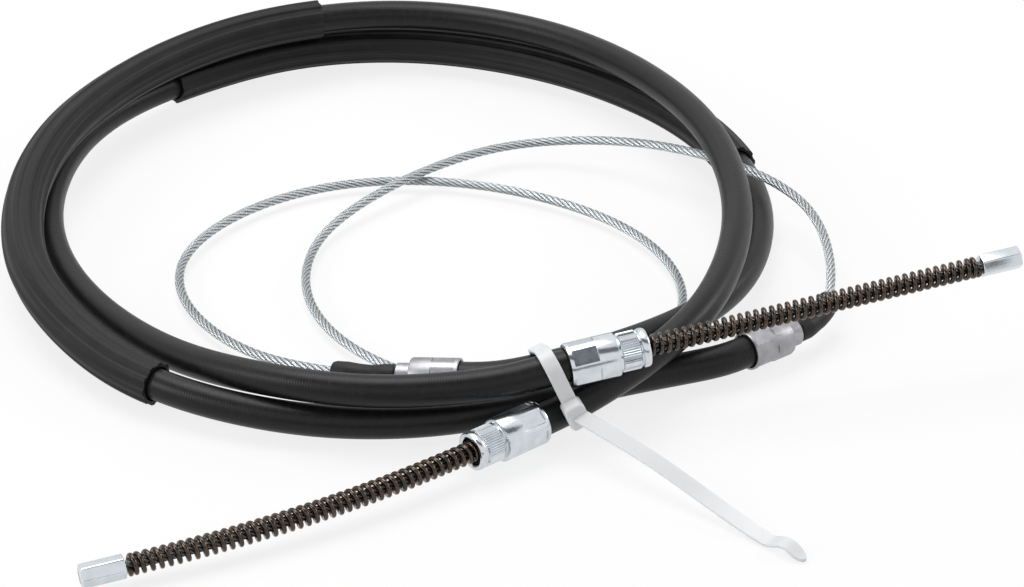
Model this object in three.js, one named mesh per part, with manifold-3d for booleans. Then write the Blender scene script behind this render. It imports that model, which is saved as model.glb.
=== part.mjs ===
/**
 * A parking brake cable, coiled and tied as it is stored.
 *
 * One wire rope runs through two jacketed conduits. The rope is bare between
 * the conduits, where it lies in a double loop. Each conduit has a crimped
 * steel ferrule, a return spring and a crimped tip at its brake end, and an
 * aluminium ferrule with a rubber boot at its outlet end. A loose ribbed
 * sleeve protects each conduit, and a cable tie holds the coil.
 *
 * Millimetres, +Z up, the lowest point on Z = 0.
 */
import * as THREE from 'three';
import { mergeVertices } from 'three/addons/utils/BufferGeometryUtils.js';
import Module from 'manifold-3d';

const wasm = await Module();
wasm.setup();

// Gap that is left between pieces that touch.
const seatGap = 0.3;

// Wire rope and conduit.
const ropeDiameter = 3.4;
const ropeRunningGap = 0.4;
const conduitDiameter = 11;
const conduitBore = 6.4;

// Loose protective sleeves.
const sleeveBore = 12.2;
const sleeveWall = 0.9;
const sleeveRibHeight = 0.6;
const sleeveRibCount = 10;
const sleeveALength = 277;
const sleeveAFromFerrule = 381;
const sleeveBLength = 317;
const sleeveBFromOutlet = 211;

// Brake ferrule, from its rear face to its mouth.
const ferruleBodyDiameter = 15;
const ferruleBodyLength = 17;
const ferruleSeatDepth = 12;
const ferruleChamfer = 0.4;
const ferruleCrimpLength = 8.5;
const ferruleCrimpAcrossFlats = 13.9;
const crimpSetback = 1.4;
const neckDiameter = 11.8;
const neckLength = 1;
const knurlDiameter = 13;
const knurlDepth = 0.45;
const knurlLength = 6.5;
const knurlTeeth = 28;
const rimDiameter = 13.2;
const rimLength = 3.2;
const mouthDiameter = 9.8;
const mouthDepth = 6;
const bushThickness = 2;

// Return springs and crimped tips.
const springDiameter = 7.4;
const springWire = 1.7;
const springTurns = 44;
const springClosedTurns = 1.5;
const springClosedGap = 0.12;
const springALength = 121.4;
const springBLength = 124.7;
const tipLength = 14;
const tipAcrossFlats = 7;
const tipChamfer = 0.6;
const tipBoreDepth = 12;

// Aluminium outlet ferrules and rubber boots.
const outletDiameter = 13.5;
const outletLength = 17;
const outletSeatDepth = 15;
const outletCrimpLength = 8;
const outletCrimpAcrossFlats = 12.7;
const spigotDiameter = 9.6;
const spigotLength = 5;
const bootDiameter = 8.6;
const bootWaist = 7.4;
const bootBore = 5.4;
const bootLength = 23;

// Cable tie.
const tieWidth = 5.2;
const tieThickness = 1.2;
const tieSetback = 5;
const tieAzimuth = 18;
const tieLean = 22;
const bundleReach = 45;
const tieHeadLength = 8.5;
const tieHeadWidth = 7.4;
const tieHeadDepth = 5;
const tieHeadDrop = 0.86;
const tieTailLength = 95;
const tieTailAzimuth = -42;

// Where each brake ferrule's rear face stands, and where its nose points, in degrees.
const brakeEndA = {
  rear: [21.8, -97.5, 24.6], azimuth: 16.3, pitch: 5.7, bend: 0, springLength: springALength,
};
const brakeEndB = {
  rear: [12.4, -105.9, 8.2], azimuth: -142, pitch: -1.4, bend: -17, springLength: springBLength,
};

// Where each outlet ferrule's conduit face stands, and where its spigot points, in degrees.
const outletEndA = { inlet: [-13, -81.9, 10.4], azimuth: 169, pitch: -5.5 };
const outletEndB = { inlet: [83.6, -58.9, 6.9], azimuth: 36, pitch: 1 };

// Guide points of the cable's line between its four ends, from brake end A to brake end B.
const conduitAPoints = [
  [-0.5, -101.8, 20], [-41, -106, 18.5], [-76.5, -94.5, 17.3], [-105.5, -71, 10], [-130.5, -43, 6],
  [-151.5, -12.5, 5.7], [-165, 23, 5.7], [-169, 60, 6], [-163, 98, 7.9], [-145.5, 130.5, 8],
  [-117.5, 156, 8], [-86.5, 176.5, 8], [-48.5, 183.5, 8], [-11.5, 177.5, 8], [23, 162, 8],
  [52, 138.5, 8], [76, 109.5, 8], [90.5, 74.5, 8], [96.5, 38.5, 7], [89.5, -2, 6.3],
  [73, -32, 7.5], [48, -60.5, 12], [13.5, -80.5, 12.5],
];
const ropePoints = [
  [-79, -60.5, 3.5], [-99, -40, 2], [-113.5, -15.5, 2], [-117, 13, 2], [-105, 40, 2],
  [-85, 60, 2], [-60, 72.5, 2], [-31, 75.5, 2], [-3, 70, 2], [22, 58, 2],
  [45, 40, 2], [60, 16.5, 2], [66.5, -12, 2], [60, -40, 2], [41, -60.5, 2.5],
  [19, -81, 4], [-11, -77.5, 3], [-35.5, -64, 2], [-56, -44.5, 2], [-68.5, -18, 2],
  [-71, 10, 2], [-64.5, 38, 2], [-45.5, 59.5, 5.5], [-25, 78, 6.5], [-1.5, 96.5, 5.5],
  [27, 97, 8], [52.5, 84, 13.5], [73, 66, 18.5], [96.5, 49.5, 18], [113, 27.5, 16.5],
  [117.5, -1.5, 13.5], [115.5, -26, 10],
];
const conduitBPoints = [
  [56, -70, 5.7], [23.5, -85, 7.5], [-7, -100.5, 6.5], [-44, -104, 5.7], [-77, -99, 6],
  [-112, -86, 8], [-137.5, -63, 8.5], [-159, -33.5, 13], [-170.5, -2, 15], [-174, 34.5, 18],
  [-168, 68, 22], [-157, 103.5, 20], [-137.5, 130, 22.5], [-110, 155.5, 23.5], [-80.5, 171.5, 23.5],
  [-45.5, 182, 22], [-10.5, 176, 22], [21.5, 160.5, 22], [46.5, 135, 23], [64.5, 105, 24.5],
  [77.5, 72, 26], [84.5, 37, 25], [85, 2, 23.5], [78, -32, 21.5], [64.5, -65.5, 20],
  [36, -91.5, 13.5],
];

// Facets.
const ropeSides = 8;
const ropeSteps = 220;
const conduitSides = 8;
const boreSides = 6;
const conduitSteps = 54;
const sleeveSteps = 20;
const sleeveBoreSides = 10;
const springSides = 4;
const springStepsPerTurn = 7;
const turnedSides = 20;
const bootSides = 10;

// Sizes that follow from the ones above.
const ferruleLength = ferruleBodyLength + neckLength + knurlLength + rimLength;
const ropeHole = ropeDiameter + 2 * ropeRunningGap;
const conduitSeat = conduitDiameter + 2 * seatGap;
const springFrom = ferruleLength - mouthDepth + seatGap + bushThickness + seatGap;
const endSegments = 6;

/** A smooth line through a list of guide points: a uniform cubic B-spline that starts and ends on them. */
class SmoothRoute extends THREE.Curve {
  constructor(points) {
    super();
    this.points = points;
    this.divisionsPerSpan = 40;
    this.arcLengthDivisions = this.divisionsPerSpan * (points.length - 1);
  }

  guide(index) {
    const last = this.points.length - 1;
    if (index < 0) {
      return this.points[0].clone().multiplyScalar(2).sub(this.points[1]);
    }
    if (index > last) {
      return this.points[last].clone().multiplyScalar(2).sub(this.points[last - 1]);
    }
    return this.points[index];
  }

  getPoint(t, target = new THREE.Vector3()) {
    const spans = this.points.length - 1;
    const span = Math.min(Math.floor(t * spans), spans - 1);
    const f = t * spans - span;
    const weights = [
      (1 - f) ** 3,
      3 * f ** 3 - 6 * f ** 2 + 4,
      -3 * f ** 3 + 3 * f ** 2 + 3 * f + 1,
      f ** 3,
    ];
    target.set(0, 0, 0);
    weights.forEach((weight, k) => target.addScaledVector(this.guide(span - 1 + k), weight / 6));
    return target;
  }

  /** Length of the line up to a guide point. */
  lengthTo(index) {
    return this.getLengths()[index * this.divisionsPerSpan];
  }

  /** Place on the line at a distance from its start, with the directions across it. */
  frameAt(distance) {
    const u = THREE.MathUtils.clamp(distance / this.getLength(), 0, 1);
    const along = this.getTangentAt(u);
    const side = new THREE.Vector3(0, 0, 1).cross(along).normalize();
    const up = along.clone().cross(side);
    return { point: this.getPointAt(u), along, side, up };
  }
}

/** The stretch of a route between two distances. */
class Stretch extends THREE.Curve {
  constructor(route, from, to) {
    super();
    Object.assign(this, { route, from, to });
  }

  getPoint(t, target = new THREE.Vector3()) {
    const distance = this.from + (this.to - this.from) * t;
    return this.route.getPointAt(THREE.MathUtils.clamp(distance / this.route.getLength(), 0, 1), target);
  }
}

/** The wire of a compression spring with closed ends, wound about a route. */
class SpringWire extends THREE.Curve {
  constructor(route, from, to) {
    super();
    Object.assign(this, { route, from, to });
    this.arcLengthDivisions = springTurns * 40;
  }

  /** Share of the spring's length that is wound after a number of turns. */
  advance(turns) {
    const closedPitch = springWire + springClosedGap;
    const openTurns = springTurns - 2 * springClosedTurns;
    const length = Math.abs(this.to - this.from) - springWire;
    const openPitch = (length - 2 * springClosedTurns * closedPitch) / openTurns;
    const first = Math.min(turns, springClosedTurns);
    const open = THREE.MathUtils.clamp(turns - springClosedTurns, 0, openTurns);
    const last = Math.max(turns - springClosedTurns - openTurns, 0);
    return springWire / 2 + (first + last) * closedPitch + open * openPitch;
  }

  getPoint(t, target = new THREE.Vector3()) {
    const turns = t * springTurns;
    const travel = this.advance(turns) * Math.sign(this.to - this.from);
    const { point, side, up } = this.route.frameAt(this.from + travel);
    const radius = (springDiameter - springWire) / 2;
    const angle = turns * 2 * Math.PI;
    target.copy(point);
    target.addScaledVector(side, radius * Math.cos(angle));
    return target.addScaledVector(up, radius * Math.sin(angle));
  }
}

function vectors(list) {
  return list.map(([x, y, z]) => new THREE.Vector3(x, y, z));
}

/** Unit vector from an azimuth and a pitch in radians. */
function heading(azimuth, pitch) {
  const level = Math.cos(pitch);
  return new THREE.Vector3(level * Math.cos(azimuth), level * Math.sin(azimuth), Math.sin(pitch));
}

/** Guide points of a brake end, from just inside the conduit out to the tip's end. */
function brakeEndPoints({ rear, azimuth, pitch, bend, springLength }) {
  const turn = THREE.MathUtils.degToRad(bend) / endSegments;
  const rise = THREE.MathUtils.degToRad(pitch);
  const straight = heading(THREE.MathUtils.degToRad(azimuth), rise);
  const start = new THREE.Vector3(...rear);
  const shares = [-0.4, 0, 0.5, 1];
  const points = shares.map((share) => start.clone().addScaledVector(straight, share * ferruleLength));
  const segment = (springFrom + springLength + seatGap - ferruleLength) / endSegments;
  const cursor = points[3].clone();
  let angle = THREE.MathUtils.degToRad(azimuth) + turn / 2;
  for (let k = 0; k < endSegments; k += 1) {
    cursor.addScaledVector(heading(angle, rise), segment);
    points.push(cursor.clone());
    angle += turn;
  }
  const tipHeading = heading(angle - turn / 2, rise);
  points.push(cursor.clone().addScaledVector(tipHeading, tipLength / 2));
  points.push(cursor.clone().addScaledVector(tipHeading, tipLength));
  return points;
}

/** Guide points that hold the line straight through an outlet ferrule. */
function outletEndPoints({ inlet, azimuth, pitch }) {
  const straight = heading(THREE.MathUtils.degToRad(azimuth), THREE.MathUtils.degToRad(pitch));
  const start = new THREE.Vector3(...inlet);
  const length = outletLength + spigotLength;
  return [-0.5, 0, 0.5, 1, 1.5].map((share) => start.clone().addScaledVector(straight, share * length));
}

/** Points of a regular polygon that a circle of the given diameter fits around. */
function polygon(diameter, sides) {
  return Array.from({ length: sides }, (_, k) => {
    const angle = (2 * Math.PI * (k + 0.5)) / sides;
    return new THREE.Vector2((diameter / 2) * Math.cos(angle), (diameter / 2) * Math.sin(angle));
  });
}

/** Diameter of a polygon whose flats stand clear of a round bore. */
function aroundBore(diameter, sides) {
  return diameter / Math.cos(Math.PI / sides);
}

function sectionShape(outline, hole = null) {
  const shape = new THREE.Shape(outline);
  if (hole) {
    shape.holes.push(new THREE.Path(hole));
  }
  return shape;
}

function sweep(shape, path, steps) {
  return new THREE.ExtrudeGeometry(shape, { steps, extrudePath: path, bevelEnabled: false });
}

/** A turned shape about Z, from a closed profile of [radius, height] pairs. */
function turned(profile, sides = turnedSides) {
  const points = [...profile, profile[0]].map(([radius, height]) => new THREE.Vector2(radius, height));
  return new THREE.LatheGeometry(points, sides).rotateX(Math.PI / 2);
}

/** A prism about Z between two heights. */
function prism(outline, from, to) {
  const shape = sectionShape(outline);
  return new THREE.ExtrudeGeometry(shape, { depth: to - from, bevelEnabled: false }).translate(0, 0, from);
}

/** A geometry with its shared corners merged, holding positions only. */
function welded(geometry) {
  const bare = geometry.clone();
  bare.deleteAttribute('normal');
  bare.deleteAttribute('uv');
  return mergeVertices(bare, 1e-4);
}

function toSolid(geometry) {
  const merged = welded(geometry);
  return new wasm.Manifold(new wasm.Mesh({
    numProp: 3,
    vertProperties: Float32Array.from(merged.attributes.position.array),
    triVerts: Uint32Array.from(merged.index.array),
  }));
}

function toGeometry(solid) {
  const mesh = solid.getMesh();
  const geometry = new THREE.BufferGeometry();
  geometry.setAttribute('position', new THREE.BufferAttribute(Float32Array.from(mesh.vertProperties), 3));
  geometry.setIndex(new THREE.BufferAttribute(Uint32Array.from(mesh.triVerts), 1));
  geometry.computeVertexNormals();
  return geometry;
}

/** Lays a geometry that was modelled straight along Z onto a route, from a distance on it. */
function threadOn(route, geometry, from, direction = 1) {
  const laid = welded(geometry);
  const position = laid.attributes.position;
  for (let k = 0; k < position.count; k += 1) {
    const { point, side, up } = route.frameAt(from + direction * position.getZ(k));
    point.addScaledVector(side, direction * position.getX(k));
    point.addScaledVector(up, position.getY(k));
    position.setXYZ(k, point.x, point.y, point.z);
  }
  laid.computeVertexNormals();
  return laid;
}

/** Presses six crimp flats into a turned solid between two heights. */
function crimped(solid, diameter, acrossFlats, from, to) {
  const ring = prism(polygon(aroundBore(diameter, 12) + 2, 12), from, to);
  const hexagon = prism(polygon(aroundBore(acrossFlats, 6), 6), from - 1, to + 1);
  return solid.subtract(toSolid(ring).subtract(toSolid(hexagon)));
}

/** Straight knurl: a toothed ring that stands proud of the ferrule's nose. */
function knurlRing(from, to) {
  const outline = [];
  for (let k = 0; k < 2 * knurlTeeth; k += 1) {
    const radius = knurlDiameter / 2 - (k % 2) * knurlDepth;
    const angle = (Math.PI * k) / knurlTeeth;
    outline.push(new THREE.Vector2(radius * Math.cos(angle), radius * Math.sin(angle)));
  }
  const core = prism(polygon(mouthDiameter + 1, turnedSides), from - 1, to + 1);
  return toSolid(prism(outline, from, to)).subtract(toSolid(core));
}

/** Brake ferrule: a seat for the conduit, a crimped body, a neck, a knurl and a rounded rim. */
function brakeFerruleGeometry() {
  const body = ferruleBodyDiameter / 2;
  const neck = neckDiameter / 2;
  const rim = rimDiameter / 2;
  const mouth = mouthDiameter / 2;
  const seat = aroundBore(conduitSeat, turnedSides) / 2;
  const hole = aroundBore(ropeHole, turnedSides) / 2;
  const chamfer = ferruleChamfer;
  const knurlFrom = ferruleBodyLength + neckLength;
  const rimFrom = knurlFrom + knurlLength;
  const profile = [
    [seat, 0], [body - chamfer, 0], [body, chamfer], [body, ferruleBodyLength - chamfer],
    [body - chamfer, ferruleBodyLength], [neck, ferruleBodyLength], [neck, rimFrom + 0.5],
    [rim, rimFrom + 1], [rim, ferruleLength - 1.3], [rim - 0.4, ferruleLength - 0.5],
    [rim - 1, ferruleLength], [mouth + 0.4, ferruleLength], [mouth, ferruleLength - 0.5],
    [mouth, ferruleLength - mouthDepth], [hole, ferruleLength - mouthDepth],
    [hole, ferruleSeatDepth], [seat, ferruleSeatDepth],
  ];
  const shell = toSolid(turned(profile)).add(knurlRing(knurlFrom, rimFrom));
  const crimpTo = crimpSetback + ferruleCrimpLength;
  return toGeometry(crimped(shell, ferruleBodyDiameter, ferruleCrimpAcrossFlats, crimpSetback, crimpTo));
}

/** Bush that fills the floor of a brake ferrule's mouth and guides the rope. */
function noseBushGeometry() {
  const outer = mouthDiameter / 2 - seatGap;
  const hole = aroundBore(ropeHole, turnedSides) / 2;
  return turned([[hole, 0], [outer, 0], [outer, bushThickness - 0.4], [outer - 0.4, bushThickness],
    [hole, bushThickness]]);
}

/** Hexagonal tip with a blind hole for the rope's end, from its spring face outwards. */
function endTipGeometry() {
  const shape = sectionShape(polygon(aroundBore(tipAcrossFlats, 6) - 2 * tipChamfer, 6));
  const block = new THREE.ExtrudeGeometry(shape, {
    depth: tipLength - 2 * tipChamfer,
    bevelThickness: tipChamfer,
    bevelSize: tipChamfer,
    bevelSegments: 1,
  }).translate(0, 0, tipChamfer);
  const hole = prism(polygon(aroundBore(ropeHole, 12), 12), -1, tipBoreDepth);
  return toGeometry(toSolid(block).subtract(toSolid(hole)));
}

/** Outlet ferrule: a crimped barrel over the conduit's end and a narrower spigot for the boot. */
function outletFerruleGeometry() {
  const barrel = outletDiameter / 2;
  const spigot = spigotDiameter / 2;
  const seat = aroundBore(conduitSeat, turnedSides) / 2;
  const hole = aroundBore(ropeHole, turnedSides) / 2;
  const total = outletLength + spigotLength;
  const profile = [
    [seat, 0], [barrel - 0.3, 0], [barrel, 0.3], [barrel, outletLength - 0.5], [barrel - 0.5, outletLength],
    [spigot, outletLength], [spigot, total - 0.3], [spigot - 0.3, total], [hole, total],
    [hole, outletSeatDepth], [seat, outletSeatDepth],
  ];
  const crimpTo = crimpSetback + outletCrimpLength;
  const solid = toSolid(turned(profile));
  return toGeometry(crimped(solid, outletDiameter, outletCrimpAcrossFlats, crimpSetback, crimpTo));
}

/** Rubber boot, drawn in at its waist, that closes an outlet ferrule round the rope. */
function bootGeometry() {
  const mouth = bootDiameter / 2;
  const waist = bootWaist / 2;
  const hole = aroundBore(bootBore, bootSides) / 2;
  const stations = [
    [0, mouth], [0.18, mouth], [0.36, waist], [0.55, waist],
    [0.75, mouth - 0.3], [0.93, mouth - 0.4], [1, mouth - 0.9],
  ];
  const outside = stations.map(([share, radius]) => [radius, share * bootLength]);
  const inside = stations.map(([share]) => [hole, share * bootLength]).reverse();
  return turned([...outside, ...inside], bootSides);
}

/** Section of the protective sleeve: a thin wall with ribs along its outside. */
function sleeveShape() {
  const root = sleeveBore / 2 + sleeveWall;
  const outline = [];
  for (let k = 0; k < 2 * sleeveRibCount; k += 1) {
    const radius = root + (k % 2) * sleeveRibHeight;
    const angle = (Math.PI * k) / sleeveRibCount;
    outline.push(new THREE.Vector2(radius * Math.cos(angle), radius * Math.sin(angle)));
  }
  return sectionShape(outline, polygon(aroundBore(sleeveBore, sleeveBoreSides), sleeveBoreSides));
}

/** Convex outline of a set of 2D points, anticlockwise. */
function convexOutline(points) {
  const sorted = [...points].sort((a, b) => a.x - b.x || a.y - b.y);
  const turnsRight = (o, a, b) => (a.x - o.x) * (b.y - o.y) - (a.y - o.y) * (b.x - o.x) <= 1e-9;
  const half = (list) => {
    const chain = [];
    list.forEach((point) => {
      while (chain.length > 1 && turnsRight(chain[chain.length - 2], chain[chain.length - 1], point)) {
        chain.pop();
      }
      chain.push(point);
    });
    return chain.slice(0, -1);
  };
  return [...half(sorted), ...half(sorted.reverse())];
}

/** The strands that cross the tie's plane, as circles in it: x across the bundle and y upwards. */
function bundleCircles({ route, rearA, rearB, inletA, inletB }, plane) {
  const circles = [];
  for (let distance = rearA; distance < rearB; distance += 1) {
    const { point, along } = route.frameAt(distance);
    const offset = point.sub(plane.origin);
    const level = Math.abs(offset.dot(plane.normal));
    if (level < tieWidth / 2 + 1 && offset.length() < bundleReach) {
      const bare = distance > inletA && distance < inletB;
      const slant = Math.abs(along.dot(plane.normal));
      const radius = (bare ? ropeDiameter : conduitDiameter) / 2 / slant;
      circles.push({ x: offset.dot(plane.across), y: offset.dot(plane.upward), radius });
    }
  }
  return circles;
}

/** Outline that goes round all the circles, a margin off them. */
function bandOutline(circles, margin) {
  const sides = 16;
  const points = circles.flatMap(({ x, y, radius }) => {
    const corners = polygon(aroundBore(2 * (radius + margin), sides), sides);
    return corners.map((corner) => corner.add(new THREE.Vector2(x, y)));
  });
  return convexOutline(points);
}

/** The straight side of the band that drops the most, which is on the front of the bundle. */
function frontSide(outline) {
  const sides = outline.map((from, k) => ({ from, to: outline[(k + 1) % outline.length] }));
  const drop = ({ from, to }) => from.y - to.y;
  return sides.sort((a, b) => drop(b) - drop(a))[0];
}

/** The tie's head, as a block on the band's front side. */
function tieHeadSolid(side) {
  const edge = side.to.clone().sub(side.from).normalize();
  const outward = new THREE.Vector2(edge.y, -edge.x);
  const centre = side.from.clone().lerp(side.to, tieHeadDrop);
  centre.addScaledVector(outward, tieHeadDepth / 2 - tieThickness);
  const block = new THREE.BoxGeometry(tieHeadLength, tieHeadDepth, tieHeadWidth);
  block.rotateZ(Math.atan2(edge.y, edge.x)).translate(centre.x, centre.y, 0);
  return { solid: toSolid(block), centre };
}

/** The tie's tail: a strip that leaves the head, comes down and lies flat at its end. */
function tieTailSolid(start) {
  const bottom = tieThickness / 2 + seatGap;
  const line = new THREE.SplineCurve([
    new THREE.Vector2(0, start.z),
    new THREE.Vector2(tieTailLength * 0.35, start.z * 0.72 + bottom * 0.28),
    new THREE.Vector2(tieTailLength * 0.78, start.z * 0.1 + bottom * 0.9),
    new THREE.Vector2(tieTailLength, bottom),
  ]);
  const spine = line.getPoints(10);
  const half = new THREE.Vector2(0, tieThickness / 2);
  const under = spine.map((p) => p.clone().sub(half));
  const over = spine.map((p) => p.clone().add(half)).reverse();
  const outline = [...under, ...over];
  const shape = sectionShape(outline);
  const strip = new THREE.ExtrudeGeometry(shape, { depth: tieWidth, bevelEnabled: false });
  strip.translate(0, 0, -tieWidth / 2).rotateX(Math.PI / 2);
  strip.rotateZ(THREE.MathUtils.degToRad(tieTailAzimuth)).translate(start.x, start.y, 0);
  return toSolid(strip);
}

/** One-piece cable tie: band, head and tail. */
function cableTieGeometry(line) {
  const azimuth = THREE.MathUtils.degToRad(tieAzimuth);
  const normal = heading(azimuth, THREE.MathUtils.degToRad(tieLean));
  const across = heading(azimuth + Math.PI / 2, 0);
  const upward = normal.clone().cross(across);
  const plane = { origin: line.route.frameAt(line.rearA + tieSetback).point, normal, across, upward };
  const circles = bundleCircles(line, plane);
  const outline = bandOutline(circles, seatGap + tieThickness);
  const shape = sectionShape(outline, bandOutline(circles, seatGap));
  const band = new THREE.ExtrudeGeometry(shape, { depth: tieWidth, bevelEnabled: false });
  const head = tieHeadSolid(frontSide(outline));
  const ring = toSolid(band.translate(0, 0, -tieWidth / 2)).add(head.solid);
  const placing = new THREE.Matrix4().makeBasis(across, upward, normal).setPosition(plane.origin);
  const start = new THREE.Vector3(head.centre.x, head.centre.y, 0).applyMatrix4(placing);
  return toGeometry(toSolid(toGeometry(ring).applyMatrix4(placing)).add(tieTailSolid(start)));
}

/** The whole line of the cable and the distances on it at which its pieces meet. */
function cableLine() {
  const endA = brakeEndPoints(brakeEndA).reverse();
  const endB = brakeEndPoints(brakeEndB);
  const outletAPoints = outletEndPoints(outletEndA);
  const outletBPoints = outletEndPoints(outletEndB).reverse();
  const toOutletA = [...endA, ...vectors(conduitAPoints)];
  const toOutletB = [...toOutletA, ...outletAPoints, ...vectors(ropePoints)];
  const route = new SmoothRoute([...toOutletB, ...outletBPoints, ...vectors(conduitBPoints), ...endB]);
  const length = route.getLength();
  const rearA = springFrom + springALength + seatGap + tipLength;
  const rearB = length - (springFrom + springBLength + seatGap + tipLength);
  const inletA = route.lengthTo(toOutletA.length + 1);
  const inletB = route.lengthTo(toOutletB.length + 3);
  return { route, length, rearA, rearB, inletA, inletB };
}

const finishes = {
  jacket: { color: 0x1b1b1d, roughness: 0.45, metalness: 0 },
  rubber: { color: 0x141415, roughness: 0.6, metalness: 0 },
  zinc: { color: 0xc9cfd4, roughness: 0.25, metalness: 1 },
  aluminium: { color: 0xa9a9ad, roughness: 0.5, metalness: 1 },
  rope: { color: 0x9aa2a6, roughness: 0.4, metalness: 1 },
  springSteel: { color: 0x4a3b32, roughness: 0.4, metalness: 1 },
  nylon: { color: 0xe9ecee, roughness: 0.4, metalness: 0 },
};

function piece(name, geometry, finish) {
  const mesh = new THREE.Mesh(geometry, new THREE.MeshStandardMaterial(finishes[finish]));
  mesh.name = name;
  return mesh;
}

/** A group that stands on the route and points its Z along it, forwards or back. */
function seatOn(route, distance, direction) {
  const { point, along } = route.frameAt(distance);
  const seat = new THREE.Group();
  seat.position.copy(point);
  seat.quaternion.setFromUnitVectors(new THREE.Vector3(0, 0, 1), along.multiplyScalar(direction));
  return seat;
}

/** Ferrule, bush, spring and tip at one end of the rope. */
function brakeEnd(suffix, route, rear, direction, springLength) {
  const ferrule = seatOn(route, rear, direction);
  const bush = piece(`nose_bush_${suffix}`, noseBushGeometry(), 'rubber');
  bush.position.z = ferruleLength - mouthDepth + seatGap;
  ferrule.add(piece(`brake_ferrule_${suffix}`, brakeFerruleGeometry(), 'zinc'), bush);
  const from = rear + direction * springFrom;
  const to = from + direction * springLength;
  const wire = new SpringWire(route, from, to);
  const section = sectionShape(polygon(springWire, springSides));
  const spring = sweep(section, wire, springTurns * springStepsPerTurn);
  const tip = seatOn(route, to + direction * seatGap, direction);
  tip.add(piece(`end_tip_${suffix}`, endTipGeometry(), 'zinc'));
  const end = new THREE.Group();
  end.add(ferrule, piece(`return_spring_${suffix}`, spring, 'springSteel'), tip);
  return end;
}

/** Aluminium ferrule and rubber boot where the rope comes out of a conduit. */
function outletEnd(suffix, route, inlet, direction) {
  const seat = seatOn(route, inlet, direction);
  seat.add(piece(`outlet_ferrule_${suffix}`, outletFerruleGeometry(), 'aluminium'));
  const bootFrom = inlet + direction * (outletLength + spigotLength + seatGap);
  const boot = threadOn(route, bootGeometry(), bootFrom, direction);
  const end = new THREE.Group();
  end.add(seat, piece(`boot_${suffix}`, boot, 'rubber'));
  return end;
}

function conduit(suffix, route, from, to) {
  const bore = polygon(aroundBore(conduitBore, boreSides), boreSides);
  const shape = sectionShape(polygon(conduitDiameter, conduitSides), bore);
  return piece(`conduit_${suffix}`, sweep(shape, new Stretch(route, from, to), conduitSteps), 'jacket');
}

function protectiveSleeve(suffix, route, from, length) {
  const path = new Stretch(route, from, from + length);
  return piece(`protective_sleeve_${suffix}`, sweep(sleeveShape(), path, sleeveSteps), 'rubber');
}

const line = cableLine();
const { route, rearA, rearB, inletA, inletB } = line;
const ropeInset = tipLength - tipBoreDepth + seatGap;
const ropePath = new Stretch(route, ropeInset, line.length - ropeInset);
const brakeSeat = ferruleSeatDepth - seatGap;
const outletSeat = outletSeatDepth - seatGap;

const group = new THREE.Group();
group.add(
  piece('inner_rope', sweep(sectionShape(polygon(ropeDiameter, ropeSides)), ropePath, ropeSteps), 'rope'),
  conduit('a', route, rearA - brakeSeat, inletA + outletSeat),
  conduit('b', route, inletB - outletSeat, rearB + brakeSeat),
  protectiveSleeve('a', route, rearA + sleeveAFromFerrule, sleeveALength),
  protectiveSleeve('b', route, inletB + sleeveBFromOutlet, sleeveBLength),
  brakeEnd('a', route, rearA, -1, springALength),
  brakeEnd('b', route, rearB, 1, springBLength),
  outletEnd('a', route, inletA, 1),
  outletEnd('b', route, inletB, -1),
  piece('cable_tie', cableTieGeometry(line), 'nylon'),
);

const box = new THREE.Box3().setFromObject(group, true);
const middle = box.getCenter(new THREE.Vector3());
group.position.set(-middle.x, -middle.y, -box.min.z);

export default group;
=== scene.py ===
"""Looks of a parking brake cable, coiled and tied for storage.

One wire rope runs through two black conduits. The rope is bare between the
conduits and lies there in a double loop. At the brake ends it comes out of a
crimped ferrule, through a return spring, and stops in a hexagonal tip. Each
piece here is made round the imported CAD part, in metres, and replaces the plain
solid of its name.
"""

import logging
import math
from abc import ABC, abstractmethod
from collections.abc import Callable, Iterable, Sequence
from dataclasses import dataclass, field
from enum import Enum
from typing import Any

import bmesh
import bpy
import numpy as np
from mathutils import Matrix, Vector
from mathutils.geometry import convex_hull_2d


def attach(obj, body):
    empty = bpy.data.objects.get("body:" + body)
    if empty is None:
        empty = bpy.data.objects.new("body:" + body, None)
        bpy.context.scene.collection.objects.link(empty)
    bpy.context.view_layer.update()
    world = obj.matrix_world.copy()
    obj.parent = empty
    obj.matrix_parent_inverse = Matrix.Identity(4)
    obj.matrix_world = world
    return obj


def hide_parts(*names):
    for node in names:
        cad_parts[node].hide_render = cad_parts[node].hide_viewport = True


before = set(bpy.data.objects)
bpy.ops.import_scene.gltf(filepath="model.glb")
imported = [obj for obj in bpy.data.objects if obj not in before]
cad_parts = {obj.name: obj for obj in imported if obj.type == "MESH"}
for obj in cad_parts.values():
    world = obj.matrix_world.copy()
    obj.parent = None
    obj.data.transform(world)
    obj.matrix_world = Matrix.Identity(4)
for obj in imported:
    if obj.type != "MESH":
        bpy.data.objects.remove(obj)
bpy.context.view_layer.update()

log = logging.getLogger("brake_cable")

MM = 0.001
TAU = math.tau
ROOT = "root"
UP = Vector((0.0, 0.0, 1.0))
# Where the middle of the coil's box lies in the route's own coordinates.
COIL_CENTRE = Vector((-0.002245, -0.001098, -0.002131))
SEAT_GAP = 0.3 * MM
# Vertices closer than this are one.
MERGE_GAP = 1e-7
UV_MAP = "UVMap"
NOISE_MIDDLE = 0.5
CRIMP_FLATS = 6
# Where an outlet end's guide points lie, as shares of its length from the conduit face.
OUTLET_SHARES = (-0.5, 0.0, 0.5, 1.0, 1.5)

Point2 = tuple[float, float]
Point3 = tuple[float, float, float]


class Slot(Enum):
    """Material slots of the record."""

    ROPE = "galvanised_rope"
    JACKET = "conduit_jacket"
    SLEEVE = "sleeve_rubber"
    ZINC = "zinc_plated_steel"
    BOOT = "boot_rubber"
    SPRING = "spring_steel"
    ALUMINIUM = "matte_aluminium"
    NYLON = "natural_nylon"


class Side(Enum):
    """The two halves of the cable, with the way from each brake end into the coil."""

    A = "a"
    B = "b"


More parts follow.
